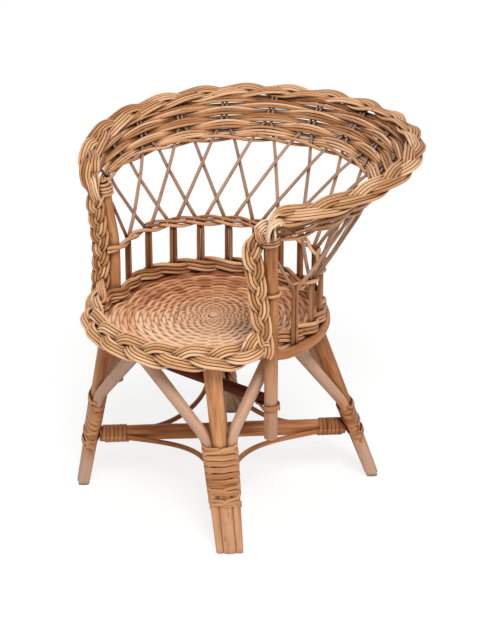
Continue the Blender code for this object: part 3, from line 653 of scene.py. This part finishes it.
def plait(work, path, facing, swing, depth, rod, pitch, shade=0.0, rods_each=4):
    """Lays three strands of rods along a path. facing is the way that the plait's flat side looks.
    swing, depth, rod and pitch may change along the path, and so may shade, which is added to the
    rods' tones."""
    ways = unit(np.gradient(path, axis=0))
    face = unit(facing - ways * np.sum(facing * ways, 1, keepdims=True))
    across = np.cross(ways, face)
    sizes = (swing, depth, rod, pitch)
    swing, depth, rod, pitch = (np.broadcast_to(v, (len(path),)) for v in sizes)
    steps = np.concatenate([[0], np.linalg.norm(np.diff(path, axis=0), axis=1)])
    phase = np.cumsum(steps * 2 * math.pi / pitch)
    for strand in range(3):
        turn = phase + 2 * math.pi * strand / 3
        sideways = swing * (np.cos(turn) - EDGE * np.cos(3 * turn)) / (1 - EDGE)
        slope = swing * (3 * EDGE * np.sin(3 * turn) - np.sin(turn)) / (1 - EDGE)
        lean = np.arctan(slope * 2 * math.pi / pitch)
        own = work.random.uniform(0.36, 0.72)
        for k in range(rods_each):
            from_middle = k - (rods_each - 1) / 2
            offset = from_middle * rod
            crown = -CROWN * rod * (from_middle / (rods_each / 2)) ** 2
            place = path + across * (sideways + offset * np.cos(lean))[:, None]
            place = place - ways * (offset * np.sin(lean))[:, None]
            place = place + face * (depth * np.sin(2 * turn) + crown)[:, None]
            work.lay(place, rod * 1.04, tone=own + work.random.uniform(-0.2, 0.2) + shade)


# %% [markdown]
# ## The rim
# The rim's plait runs along the top of the band and curls over the end of each arm. On the left arm
# it is bolder, and painted paler for the brighter light on it; towards both ends it gets finer.

# %% How the rim curls over an arm
CURL_RADIUS, CURL_FROM = 0.0165, 0.955


def arm_curl(side, beside, ends):
    """Where the rim's end turns down over an arm post, each place with the way that it faces. ends
    are its last heights, each with the share of beside by which it lies off the post's middle."""
    start = rim_level(side * CURL_FROM)
    ahead = unit((start - rim_level(side * (CURL_FROM - 0.01))) * FLAT_ON)
    curl = []
    for turn in np.radians((28, 56, 84)):
        place = start + (ahead * math.sin(turn) - UP * (1 - math.cos(turn))) * CURL_RADIUS
        curl.append([*place, *(ahead * math.sin(turn) + UP * math.cos(turn))])
    beside = np.array(beside)
    for height, off in ends:
        curl.append([*(post(height, side) + beside * off), 0.3, -0.95, 0])
    return np.array(curl)


# %% Rim
ROLL = (0.45, 0.1, -0.65)  # the plait's lean inwards on the right arm, the back and the left arm
rim = Work(17)
shares = np.linspace(-CURL_FROM, CURL_FROM, 63)
middle = rim_level(shares)
centre_y = rim_level(0)[1] - RIM_RADIUS
inward = -unit((middle - vec(0, centre_y, 0)) * FLAT_ON)
roll = np.interp(shares, (-0.8, 0, 0.8), ROLL)
control = np.hstack([middle, unit(UP + inward * roll[:, None])])
right_end = arm_curl(-1, (-0.0027, -POST_RADIUS - 0.0085, 0), ((0.398, 1.0), (0.374, 0.8)))
left_end = arm_curl(1, (0.0020, -POST_RADIUS - 0.0060, 0), ((0.403, 0.9), (0.391, 0.0)))
flow = smooth(np.vstack([right_end[::-1], control, left_end]), 0.003)
path, facing = flow[:, :3], flow[:, 3:]
along = np.linspace(-1, 1, len(path))
left_arm = ease((along - 0.2) / 0.4)
fine = ease((np.abs(along) - 0.76) / 0.18)
tucked = ease((np.abs(along) - 0.94) / 0.06)
pitch = 0.172 - 0.037 * left_arm - 0.025 * fine
swing = (0.0060 + 0.0035 * left_arm - 0.0010 * fine) * (1 - 0.45 * tucked)
depth = 0.0032 + 0.0018 * left_arm - 0.0006 * fine
thick = (0.0037 - 0.0001 * left_arm - 0.0003 * fine) * (1 - 0.1 * tucked)
# Painted light: the left arm is painted paler for its brighter light, less so at the sunlit curl.
shade = left_arm * (0.6 - 0.7 * ease((along - 0.88) / 0.07))
plait(rim, path, facing, swing, depth, thick, pitch, shade)
rim.make("rim_plait_rods", PLAIT, "plaited_willow", "rim_plait")

# %% [markdown]
# ## The front border
# A fine, tight plait lies on the front of each post. A broader one starts behind the foot of one of
# them, runs along the seat's front edge on three edge rods, and ends behind the foot of the other.

# %% Plaits on the posts
# For each post: how far round it the plait lies, in degrees from straight ahead, and how far from
# its middle, both at the top and at the foot, then the way that the plait faces and its pitch.
POST_PLAITS = {
    1: ((-38, 15), (0.0220, 0.0185), 45, 0.078),
    -1: ((-10, -25), (0.0157, 0.0200), 20, 0.060),
}
PLAIT_HEIGHTS = vec(0.398, 0.382, 0.35, 0.316, 0.28, 0.244)
PLAIT_TOP, PLAIT_FOOT = 0.385, 0.25
AWAY = vec(-0.0035, 0.0045, 0.0)  # from the foot of a post's plait to the front's plait
border = Work(19)
corner = {}
for side, (turns, offs, face, pitch) in POST_PLAITS.items():
    down = (PLAIT_TOP - PLAIT_HEIGHTS) / (PLAIT_TOP - PLAIT_FOOT)
    turn = np.radians(np.interp(down, (0, 1), turns))
    off = np.interp(down, (-0.1, 0.02, 1), (offs[0] * 0.4, *offs))
    beside = np.stack([np.sin(turn), -np.cos(turn), 0 * turn], 1) * off[:, None]
    path = smooth([post(h, side) + b for h, b in zip(PLAIT_HEIGHTS, beside)], 0.003)
    face = math.radians(face)
    facing = np.broadcast_to(vec(math.sin(face), -math.cos(face), 0), path.shape)
    plait(border, path, facing, 0.0058, 0.0029, 0.0041, pitch, shade=-0.2, rods_each=3)
    corner[side] = post(0.268, side) + beside[-1] + AWAY
print("the front's plait runs from", corner[1].round(3), "to", corner[-1].round(3))

# %% Front border
FRONT_RADIUS, FRONT_LEAD, FRONT_RAISE = 0.138, 0.0213, 0.010
FRONT_SWEEP, FRONT_TILT = math.radians(52), math.radians(45)
LEFT_SHARES = vec(1.12, 0.9, 0.7, 0.45, 0.2)
RIGHT_SHARES = vec(0.2, 0.45, 0.7, 0.9, 1.08, 1.2)
EDGE_RODS = ((0.003, 0.000), (0.005, 0.004), (0.007, 0.008))  # inside the arc, above the seat


def front_place(angle, inside=0.0, above=FRONT_RAISE):
    """A place on the front's arc, or inside it, at a height above the seat."""
    radius = FRONT_RADIUS - inside
    x, y = radius * np.sin(angle), -FRONT_LEAD - radius * np.cos(angle)
    return np.stack([x, y, 0 * x + SEAT_TOP + above], -1)


front = front_place(np.concatenate([FRONT_SWEEP * LEFT_SHARES, -FRONT_SWEEP * RIGHT_SHARES]))
path = smooth(np.vstack([corner[1], front, corner[-1]]), 0.003)
narrow = ease((path[:, 2] - 0.257) / 0.02)[:, None]
outward = unit((path + vec(0, FRONT_LEAD, 0)) * FLAT_ON)
tilted = outward * math.cos(FRONT_TILT) + UP * math.sin(FRONT_TILT)
facing = tilted * (1 - narrow) + vec(0.3, -0.95, 0) * narrow
broad = 1 - narrow[:, 0]
swing, depth = 0.0062 + 0.0026 * broad, 0.0030 + 0.0020 * broad
thick, pitch = 0.0031 + 0.0007 * broad, 0.068 + 0.062 * broad
plait(border, path, facing, swing, depth, thick, pitch, shade=0.05)
for inside, above in EDGE_RODS:
    path = front_place(np.linspace(-1.4, 1.4, 60) * FRONT_SWEEP, inside, above)
    border.lay(path, 0.0048, tone=border.random.uniform(0.1, 0.4))
border.make("front_border_rods", PLAIT, "plaited_willow", "front_plait")

# %% [markdown]
# ## The seat
# The seat is woven in a spiral over stakes that run out from the centre like spokes. With an odd
# number of spokes, a weaver that went over a spoke passes under it on the next round. One long
# spiral is cut into separate rods, so that their tones differ. The middle is worn and greyer.

# %% The seat's spiral
SPOKES, STEPS = 31, 6  # spokes, and points of the spiral from one spoke to the next
ROW = 0.00437
SEAT_DEEP, SEAT_SAG = 0.0043, 0.003  # the weave lies below the solid's top, and sags further
SEAT_REACH, HUB_RADIUS = 0.133, 0.006  # the weave's radius at the back and in the middle

def seat_edge(turn):
    """The seat's radius, at angles from the back: inside the waling, out to the front border."""
    ahead = -FRONT_LEAD * np.cos(turn)
    inside = FRONT_RADIUS - 0.005
    front = ahead + np.sqrt(inside**2 - (FRONT_LEAD * np.sin(turn)) ** 2)
    wrapped = np.abs((turn + math.pi) % (2 * math.pi) - math.pi)
    return SEAT_REACH + (front - SEAT_REACH) * ease((wrapped - math.radians(112)) / math.radians(4))


rounds = int((SEAT_REACH - HUB_RADIUS) / ROW)
turn = np.linspace(0, 2 * math.pi * rounds, rounds * SPOKES * STEPS)
reach = (HUB_RADIUS + turn / (2 * math.pi) * ROW) / SEAT_REACH
edge = seat_edge(turn)
radius = reach * edge
wave = np.cos(SPOKES / 2 * turn) * np.minimum(0.0014, 0.0004 + radius * 0.03)
sag = SEAT_SAG * (1 - np.minimum(reach, 1) ** 2)
height = SEAT_TOP - SEAT_DEEP - sag + wave
spiral = np.stack([radius * np.sin(turn), radius * np.cos(turn), height], 1)
print("seat", rounds, "rounds")

# %% Seat
PAINTED_LIGHT_SIDE = vec(0.63, -0.78, 0.0)  # painted light: paler this way, darker the other
WEAVER_DEPTH, SPOKE_DEPTH = 0.0052, 0.0026
seat = Work(23)
start = 0
while start < len(spiral) - 30:
    length = int(SPOKES * STEPS * seat.random.uniform(0.7, 1.5))
    end = min(start + length, len(spiral))
    share = float(reach[(start + end) // 2])
    worn = 0.5 * (1 - ease((share - 0.1) / 0.5))
    width = ROW * 1.2 * edge[start:end] / SEAT_REACH
    # Painted light and shade: the seat's tone rises towards that side and falls away from it.
    painted_light = 0.805 * ease(0.5 + spiral[start:end] @ PAINTED_LIGHT_SIDE / 0.2) - 0.3
    own = seat.random.uniform(0.32, 0.78)
    seat.lay(spiral[start:end], width, WEAVER_DEPTH, facing=UP, tone=own + painted_light, wear=worn)
    start = end - 3
for spoke in range(SPOKES):
    turn = 2 * math.pi * spoke / SPOKES
    t = np.linspace(0.06, 0.985, 24)
    radius = t * seat_edge(np.full_like(t, turn))
    height = SEAT_TOP - SEAT_DEEP - SEAT_SAG * (1 - t**2)
    path = np.stack([radius * math.sin(turn), radius * math.cos(turn), height], 1)
    seat.lay(path, 0.0012 + 0.0020 * t, SPOKE_DEPTH, facing=UP, tone=0.3)
hub = np.array([(0, 0, SEAT_TOP - 0.010), (0, 0, SEAT_TOP - 0.0035)])
seat.lay(hub, 2 * HUB_RADIUS, tone=0.75, wear=0.35, section=FINE)
seat.make("woven_seat_rods", SEAT, "woven_willow", "woven_seat")

# %% [markdown]
# ## The hoop
# A half-round hoop is nailed round the outside of the rods, level with the seat. Its ends run into
# the posts.

# %% Seat hoop
HOOP_WIDTH, HOOP_DEPTH, HOOP_OFF = 0.0125, 0.0092, 0.0068
hoop = Work(29)
shares = np.linspace(-0.998, 0.998, 140)
out = unit(seat_level(shares) * FLAT_ON)
tucked = 0.005 * ease((np.abs(shares) - 0.92) / 0.07)
path = out * (WALL_RADIUS + HOOP_OFF - tucked)[:, None] + UP * ((SEAT_TOP + SEAT_LOW) / 2)
half_round = squared_section(2.6, 14)
hoop.lay(path, HOOP_WIDTH, HOOP_DEPTH, facing=out, tone=0.34, section=half_round)
hoop.make("seat_hoop_strip", STICK, "peeled_stick", "seat_hoop")

# %% [markdown]
# ## The base
# Each leg is a bundle: a leg stick in the middle and a brace on either side, sawn off level at the
# foot. Above the binding the braces lean over to meet under the seat. The places are those of the
# solids. The sticks taper, and they are a little crooked, as grown wood is.

# %% Places of the legs
CORNERS = ("front_left", "rear_left", "rear_right", "front_right")
GAP = 0.0004
UNDER_SEAT = SEAT_LOW - GAP
FEET = {"front": (0.132, -0.110), "rear": (0.1263, 0.1655)}
TOPS = {"front": (0.083, -0.1029), "rear": (0.0963, 0.0766)}
FEET_TWIST = math.radians(-4.3)
LEG_FOOT, LEG_GAIN = 0.0155, 0.0055  # a leg's width at the foot, and what it gains up to the seat
BRACE_FOOT, BRACE_GAIN = 0.0095, 0.005
BUNDLED = 0.93  # how closely the sticks of a bundle are pressed together
STRETCHER_HEIGHT, STRETCHER_RADIUS, FILLET_RADIUS = 0.083, 0.010, 0.00325
BINDING_LOW, BINDING_PITCH, BINDING_ROOM = 0.052, 0.0086, 0.0022
TURNS = {"front": 10, "rear": 7}


class Leg:
    """One leg's places and directions."""

    def __init__(self, corner):
        end, hand = corner.split("_")
        side = 1 if hand == "left" else -1
        (x, y), (top_x, top_y) = FEET[end], TOPS[end]
        c, s = math.cos(FEET_TWIST), math.sin(FEET_TWIST)
        self.corner = corner
        self.foot = vec(side * x * c - y * s, side * x * s + y * c, 0.0)
        self.top = vec(side * top_x, top_y, UNDER_SEAT)
        above = 1 if corner in ("front_left", "rear_right") else -1  # over the other stretcher
        self.stretcher_z = STRETCHER_HEIGHT + (STRETCHER_RADIUS + GAP / 2) * above
        self.turns = TURNS[end]
        self.binding_top = BINDING_LOW + self.turns * BINDING_PITCH

    def at(self, height):
        return self.foot + (self.top - self.foot) * (height / UNDER_SEAT)

    def face_from(self, opposite):
        self.out = unit(self.at(self.stretcher_z) - opposite.at(self.stretcher_z))
        self.along = np.cross(UP, self.out)
        axis = unit(self.top - self.foot)
        self.side = unit(self.along - axis * self.along.dot(axis))
        self.front = np.cross(self.side, axis)

    def radius(self, height):
        return (LEG_FOOT + LEG_GAIN * height / UNDER_SEAT) / 2

    def brace_radius(self, height):
        return (BRACE_FOOT + BRACE_GAIN * min(height / UNDER_SEAT, 1)) / 2

    def brace_offset(self, height):
        return (self.radius(height) + self.brace_radius(height)) * BUNDLED

    def inner_face(self):
        return self.radius(self.binding_top) + 2 * GAP + BINDING_ROOM


legs = {corner: Leg(corner) for corner in CORNERS}
for i, corner in enumerate(CORNERS):
    legs[corner].face_from(legs[CORNERS[(i + 2) % 4]])
APEXES = {
    frozenset(("front_left", "front_right")): vec(0, -0.139, UNDER_SEAT),
    frozenset(("rear_left", "rear_right")): vec(0, 0.117, UNDER_SEAT),
    frozenset(("front_left", "rear_left")): vec(0.1019, 0.008, UNDER_SEAT),
    frozenset(("front_right", "rear_right")): vec(-0.1019, 0.008, UNDER_SEAT),
}
print({corner: leg.foot.round(4).tolist() for corner, leg in legs.items()})

# %% How the sticks are shaped
WEAVE_LOW = UNDER_SEAT + 0.005  # the underside of the weave, where the sticks' tops rest
KNEE = 0.012  # a brace's bend reaches this far to either side of its knee
APEX_HALF = 0.00725  # half a brace's width where two of them meet


def pressed(heights):
    """Sections of a stick that is shaved flat against its neighbours at the foot, round above."""
    free = ease((np.asarray(heights) - 0.06) / 0.05)[:, None, None]
    return squared_section(4, 14) * (1 - free) + FINE * free


def foot_wear(corner, heights):
    """Greying of a stick by damp near the floor. The front left foot has kept more colour."""
    most = 0.25 if corner == "front_left" else 0.7
    return most * (1 - ease((heights - 0.03) / 0.05))


def brace_path(leg, other, apex):
    """A brace's path: bound to the leg, then bent over at a knee towards the apex."""
    hand = math.copysign(1, (other.foot - leg.foot).dot(leg.along))
    bound = []
    for h in np.linspace(0, leg.binding_top - 0.006, 5):
        bound.append(leg.at(h) + leg.side * (hand * leg.brace_offset(h)))
    toward = unit(leg.foot - other.foot)
    knee = bound[-1] + unit(bound[-1] - bound[-2]) * KNEE
    lean = unit(apex - knee)
    end = apex + toward * (APEX_HALF / lean[2] + GAP)
    after = knee + unit(end - knee) * KNEE
    bend = []
    for t in (0.33, 0.66, 1.0):
        bend.append(bound[-1] * (1 - t) ** 2 + knee * (2 * t * (1 - t)) + after * t**2)
    return smooth(bound + bend + [(after + end) / 2, end], 0.006)


# %% Legs
LEG_TONES = {"front_left": 0.5, "rear_left": 0.2, "rear_right": 0.42, "front_right": 0.42}
STICK_ENDS = (0.0, WEAVE_LOW)
sticks = Work(31)
for corner, leg in legs.items():
    path = np.linspace(leg.foot, leg.top, 44)
    heights = path[:, 2]
    width = 2.1 * np.array([leg.radius(h) for h in heights])
    deep = width * (1.0 + 0.02 * heights / UNDER_SEAT)
    wear = foot_wear(corner, heights)
    shape = pressed(heights)
    sticks.lay(path, width, deep, leg.front, LEG_TONES[corner], wear, shape, STICK_ENDS)
print("legs", len(legs), "up to", round(WEAVE_LOW, 4))

# %% Braces
brace_tops = {}
for pair, apex in APEXES.items():
    for corner in sorted(pair):
        leg = legs[corner]
        other = legs[next(iter(pair - {corner}))]
        path = brace_path(leg, other, apex)
        heights = path[:, 2]
        above = np.maximum(heights, 0)
        width = 2.06 * np.array([leg.brace_radius(h) for h in above]) * (1 + 0.6 * above)
        deep = width * (1.4 - 0.4 * ease(heights / leg.binding_top))
        tone = sticks.random.uniform(0.35, 0.55)
        wear = 0.65 * ease((heights - 0.1) / 0.05) + foot_wear(corner, heights)
        sticks.lay(path, width, deep, leg.front, tone, wear, pressed(heights), STICK_ENDS)
        brace_tops[corner, other.corner] = path[-4], unit(path[-1] - path[-4]), width[-4] / 2
sticks.make("leg_sticks", STICK, "peeled_stick", *named("leg_", "brace_"))

# %% Posts and stretchers
POST_LOW = 0.127


def crooked(work, path, amount):
    """Adds the slow sideways wander of grown wood, with both ends kept."""
    t = np.linspace(0, 1, len(path))
    fade = np.sin(math.pi * t) ** 0.5
    for axis in range(2):
        a, b = work.random.uniform(0, 6, 2)
        path[:, axis] += amount * fade * (np.sin(7 * t + a) + 0.6 * np.sin(15 * t + b))
    return path


frame_sticks = Work(37)
for side in (-1, 1):
    cut = (POST_LOW, 0.400 + 0.006 * side)
    path = smooth([post(h, side) for h in (POST_LOW, 0.19, 0.25, 0.316, 0.36, cut[1])], 0.006)
    tone = 0.36 - 0.08 * side
    wear = 0.4 * (1 - ease((path[:, 2] - 0.19) / 0.06))
    frame_sticks.lay(path, 2 * POST_RADIUS, tone=tone, wear=wear, section=FINE, level=cut)
for one, other in (("front_left", "rear_right"), ("front_right", "rear_left")):
    a, b = legs[one], legs[other]
    ends = [leg.at(leg.stretcher_z) - leg.out * (leg.inner_face() - 0.002) for leg in (a, b)]
    path = crooked(frame_sticks, np.linspace(*ends, 40), 0.0006)
    frame_sticks.lay(path, 2 * STRETCHER_RADIUS, tone=0.28, section=FINE)
print("posts from", POST_LOW, "stretchers at", STRETCHER_HEIGHT)

# %% Fillet rods
FILLET_OFF = STRETCHER_RADIUS + FILLET_RADIUS + GAP  # from a stretcher's middle to a rod's
BESIDE, BOWED, SINK = 0.0336, 0.0886, 0.010  # a rod's run beside a stretcher, and its bow's pull
DIP, TUCK = 0.024, 0.018  # at the front left the rods end lower, inside the leg's binding
for i, corner in enumerate(CORNERS):
    leg, other = legs[corner], legs[CORNERS[(i + 1) % 4]]
    runs = []
    for one, two in ((leg, other), (other, leg)):
        hand = math.copysign(1, (two.foot - one.foot).dot(one.along))
        beside = one.at(one.stretcher_z) + one.along * (hand * FILLET_OFF)
        start = one.inner_face() + GAP
        dip, tuck = (UP * DIP, TUCK) if one.corner == "front_left" else (UP * 0.0, 0.0)
        runs.append([beside - dip - one.out * (start + r) for r in (-tuck, BESIDE, BOWED)])
        runs[-1][2] = runs[-1][2] - UP * SINK + dip
    (a0, a1, a2), (b0, b1, b2) = runs
    t = np.linspace(0, 1, 30)[:, None]
    bow = a1 * (1 - t) ** 3 + a2 * (3 * t * (1 - t) ** 2) + b2 * (3 * t * t * (1 - t)) + b1 * t**3
    frame_sticks.lay(np.vstack([a0, bow, b0]), 2 * FILLET_RADIUS, tone=0.2)
nodes = named("arm_post", "stretcher", "fillet")
frame_sticks.make("frame_sticks", STICK, "peeled_stick", *nodes)

# %% Bar under the seat
BAR_HEIGHT, BAR_RADIUS = SEAT_TOP - 0.078, 0.0075
BAR_SHORT = 0.010
behind = POST_RADIUS + BAR_RADIUS + GAP
bar = Work(41)
ends = [post(BAR_HEIGHT, side) + vec(-side * BAR_SHORT, behind, 0) for side in (-1, 1)]
bar.lay(crooked(bar, np.linspace(*ends, 40), 0.0005), 2 * BAR_RADIUS, tone=0.4, section=FINE)
# Its dark colour is partly stain and partly painted shade from under the seat.
bar.make("under_seat_bar", SHADED_STAIN, "peeled_stick", "under_seat_crossbar")

# %% [markdown]
# ## Bindings
# A split strip is wound round each bundle and round the stretcher's end. A wound strip follows the
# outline that a stretched band takes round several sticks: at each angle it lies on whichever stick
# reaches furthest that way. A tie of the same strip holds the bar to each post, and a darker one
# goes round the top of a brace on each side.


# %% How a wound strip lies


def stretched_round(circles, angle, lift):
    """Where a tight band round some circles lies at the given angles, and the ways it faces."""
    ways = np.stack([np.cos(angle), np.sin(angle)], -1)
    reach = np.stack([ways @ vec(x, y) + r for x, y, r in circles])
    best = reach.argmax(0)
    picked = np.array(circles)[best]
    return picked[:, :2] + ways * (picked[:, 2:] + lift), ways


def round_bundle(leg, angles, heights, lifts):
    """A strip's path round a leg and its braces, and the ways that it faces."""
    path, facing = [], []
    for angle, height, lift in zip(angles, heights, np.broadcast_to(lifts, np.shape(angles))):
        offset, end = leg.brace_offset(height), leg.brace_radius(height) * 1.03
        circles = [(0, 0, leg.radius(height) * 1.06), (offset, 0, end), (-offset, 0, end)]
        (place,), (way,) = stretched_round(circles, np.array([angle]), lift)
        path.append(leg.at(height) + leg.side * place[0] + leg.front * place[1])
        facing.append(leg.side * way[0] + leg.front * way[1])
    return np.array(path), np.array(facing)


# %% Bindings
STRIP_WIDTH, STRIP_DEPTH = 0.0068, 0.0016
END_WIDTH, END_PITCH, END_TURNS = 0.0048, 0.0052, 6  # of the strip on a stretcher's end
BINDING_TONES = {"front_left": 0.55, "rear_left": 0.3, "rear_right": 0.45, "front_right": 0.45}
LOW_TURNS = (0.0560, 0.0735, 0.0815)  # heights of the loose turns at the foot of a binding
LOW_CROSSINGS = ((0.0590, 0.0735), (0.0735, 0.0590), (0.0740, 0.0860), (0.0870, 0.0760))
TOP_CROSSINGS = ((-0.014, 0.001), (-0.002, -0.012))  # from the top of the binding
strips = Work(43)
for corner, leg in legs.items():
    top, turns, tone = leg.binding_top, leg.turns, BINDING_TONES[corner]
    middles = [*LOW_TURNS, *np.linspace(0.0885, top - 0.004, turns - len(LOW_TURNS))]
    t = np.linspace(0, turns - 1, turns * 40)
    wobble = 0.0007 * np.sin(t * 5.1) + 0.0005 * np.sin(t * 13.7)
    heights = np.interp(t, np.arange(turns), middles) + wobble
    path, facing = round_bundle(leg, 2 * math.pi * t - math.pi * 0.25, heights, STRIP_DEPTH / 2)
    cuts = np.linspace(0, len(path), 5).astype(int)
    for begin, finish in zip(cuts, cuts[1:]):
        kept = slice(begin, finish + 3)
        own = tone + strips.random.uniform(-0.15, 0.15)
        strips.lay(path[kept], STRIP_WIDTH, STRIP_DEPTH, facing[kept], own, section=FLAT)
    t = np.linspace(0, 1, 40)
    lift = STRIP_DEPTH * (0.2 + 1.1 * np.sin(math.pi * t) ** 0.5)
    for low, high in LOW_CROSSINGS + tuple((top + a, top + b) for a, b in TOP_CROSSINGS):
        angles = math.pi * (0.1 + 0.8 * t)
        path, facing = round_bundle(leg, angles, low + (high - low) * ease(t), lift)
        own = tone + strips.random.uniform(-0.1, 0.2)
        strips.lay(path, STRIP_WIDTH * 0.6, STRIP_DEPTH, facing, own, section=FLAT)
    t = np.linspace(0, END_TURNS, 240)
    circles = [(0, 0, STRETCHER_RADIUS)]
    if corner != "front_left":  # there the fillet rods pass below
        circles += [(FILLET_OFF, 0, FILLET_RADIUS), (-FILLET_OFF, 0, FILLET_RADIUS)]
    place, way = stretched_round(circles, 2 * math.pi * t, STRIP_DEPTH / 2)
    inward = leg.inner_face() + 0.003 + END_PITCH * t
    path = leg.at(leg.stretcher_z) + leg.along * place[:, :1] + UP * place[:, 1:]
    path = path - leg.out * inward[:, None]
    facing = leg.along * way[:, :1] + UP * way[:, 1:]
    strips.lay(path, END_WIDTH, STRIP_DEPTH, facing, tone - 0.12, section=FLAT)
strips.make("leg_bindings", STRIP, "split_strip", *named("binding"))

# %% Ties
BACK = vec(0.0, 1.0, 0.0)
TIE_INWARD = 0.028  # from the middle of a post to where its tie crosses the bar
TIE_WIDTH, TIE_RAISE, TIE_SLANT = 0.0065, 0.0038, 0.05
DARK_TIE_WIDTH = 0.0075
ties = Work(47)
for side in (-1, 1):
    place = post(BAR_HEIGHT + TIE_RAISE, side)
    slant = unit(vec(side, 0, TIE_SLANT))
    t = np.linspace(0, 1.15, 60)
    circles = [(0, 0, POST_RADIUS * 1.12), (-TIE_INWARD, behind, BAR_RADIUS + 0.0018)]
    round_it, way = stretched_round(circles, 2 * math.pi * t + 0.4, 0.001)
    under = np.minimum(round_it[:, :1] + TIE_INWARD, 0)  # it crosses the bar on the underside
    turned = np.where(under < 0, way[:, :1], 0)
    lift = np.cross(slant, BACK) * side
    path = place + slant * (round_it[:, :1] - under) + BACK * round_it[:, 1:]
    path = path + lift * (0.0030 * (t[:, None] - 0.6) + under)
    facing = slant * (way[:, :1] - turned) + BACK * way[:, 1:] + lift * turned
    ties.lay(path, TIE_WIDTH, STRIP_DEPTH, facing, tone=0.45, section=FLAT)
for pair in (("rear_left", "front_left"), ("rear_right", "front_right")):
    middle, way, radius = brace_tops[pair]
    across = unit(np.cross(way, UP))
    angle = np.linspace(0, 2.2 * math.pi, 50)[:, None]
    round_it = across * np.cos(angle) + np.cross(across, way) * np.sin(angle)
    path = middle + round_it * (radius + STRIP_DEPTH / 2) + way * (angle - math.pi) * 0.0004
    # The brace tie takes the darkest tone, painted shade for the shade it sits in under the seat.
    ties.lay(path, DARK_TIE_WIDTH, STRIP_DEPTH, facing=round_it, tone=0.0, section=FLAT)
ties.make("post_ties", STRIP, "split_strip", *named("tie_"))

# %% [markdown]
# ## Sizes
# The dressed chair's box is printed at the end. The dressed chair has to keep to the solids' box.

# %% Sizes and finish
low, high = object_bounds()
print("visual box", [round(v, 4) for v in (*low, *high)])
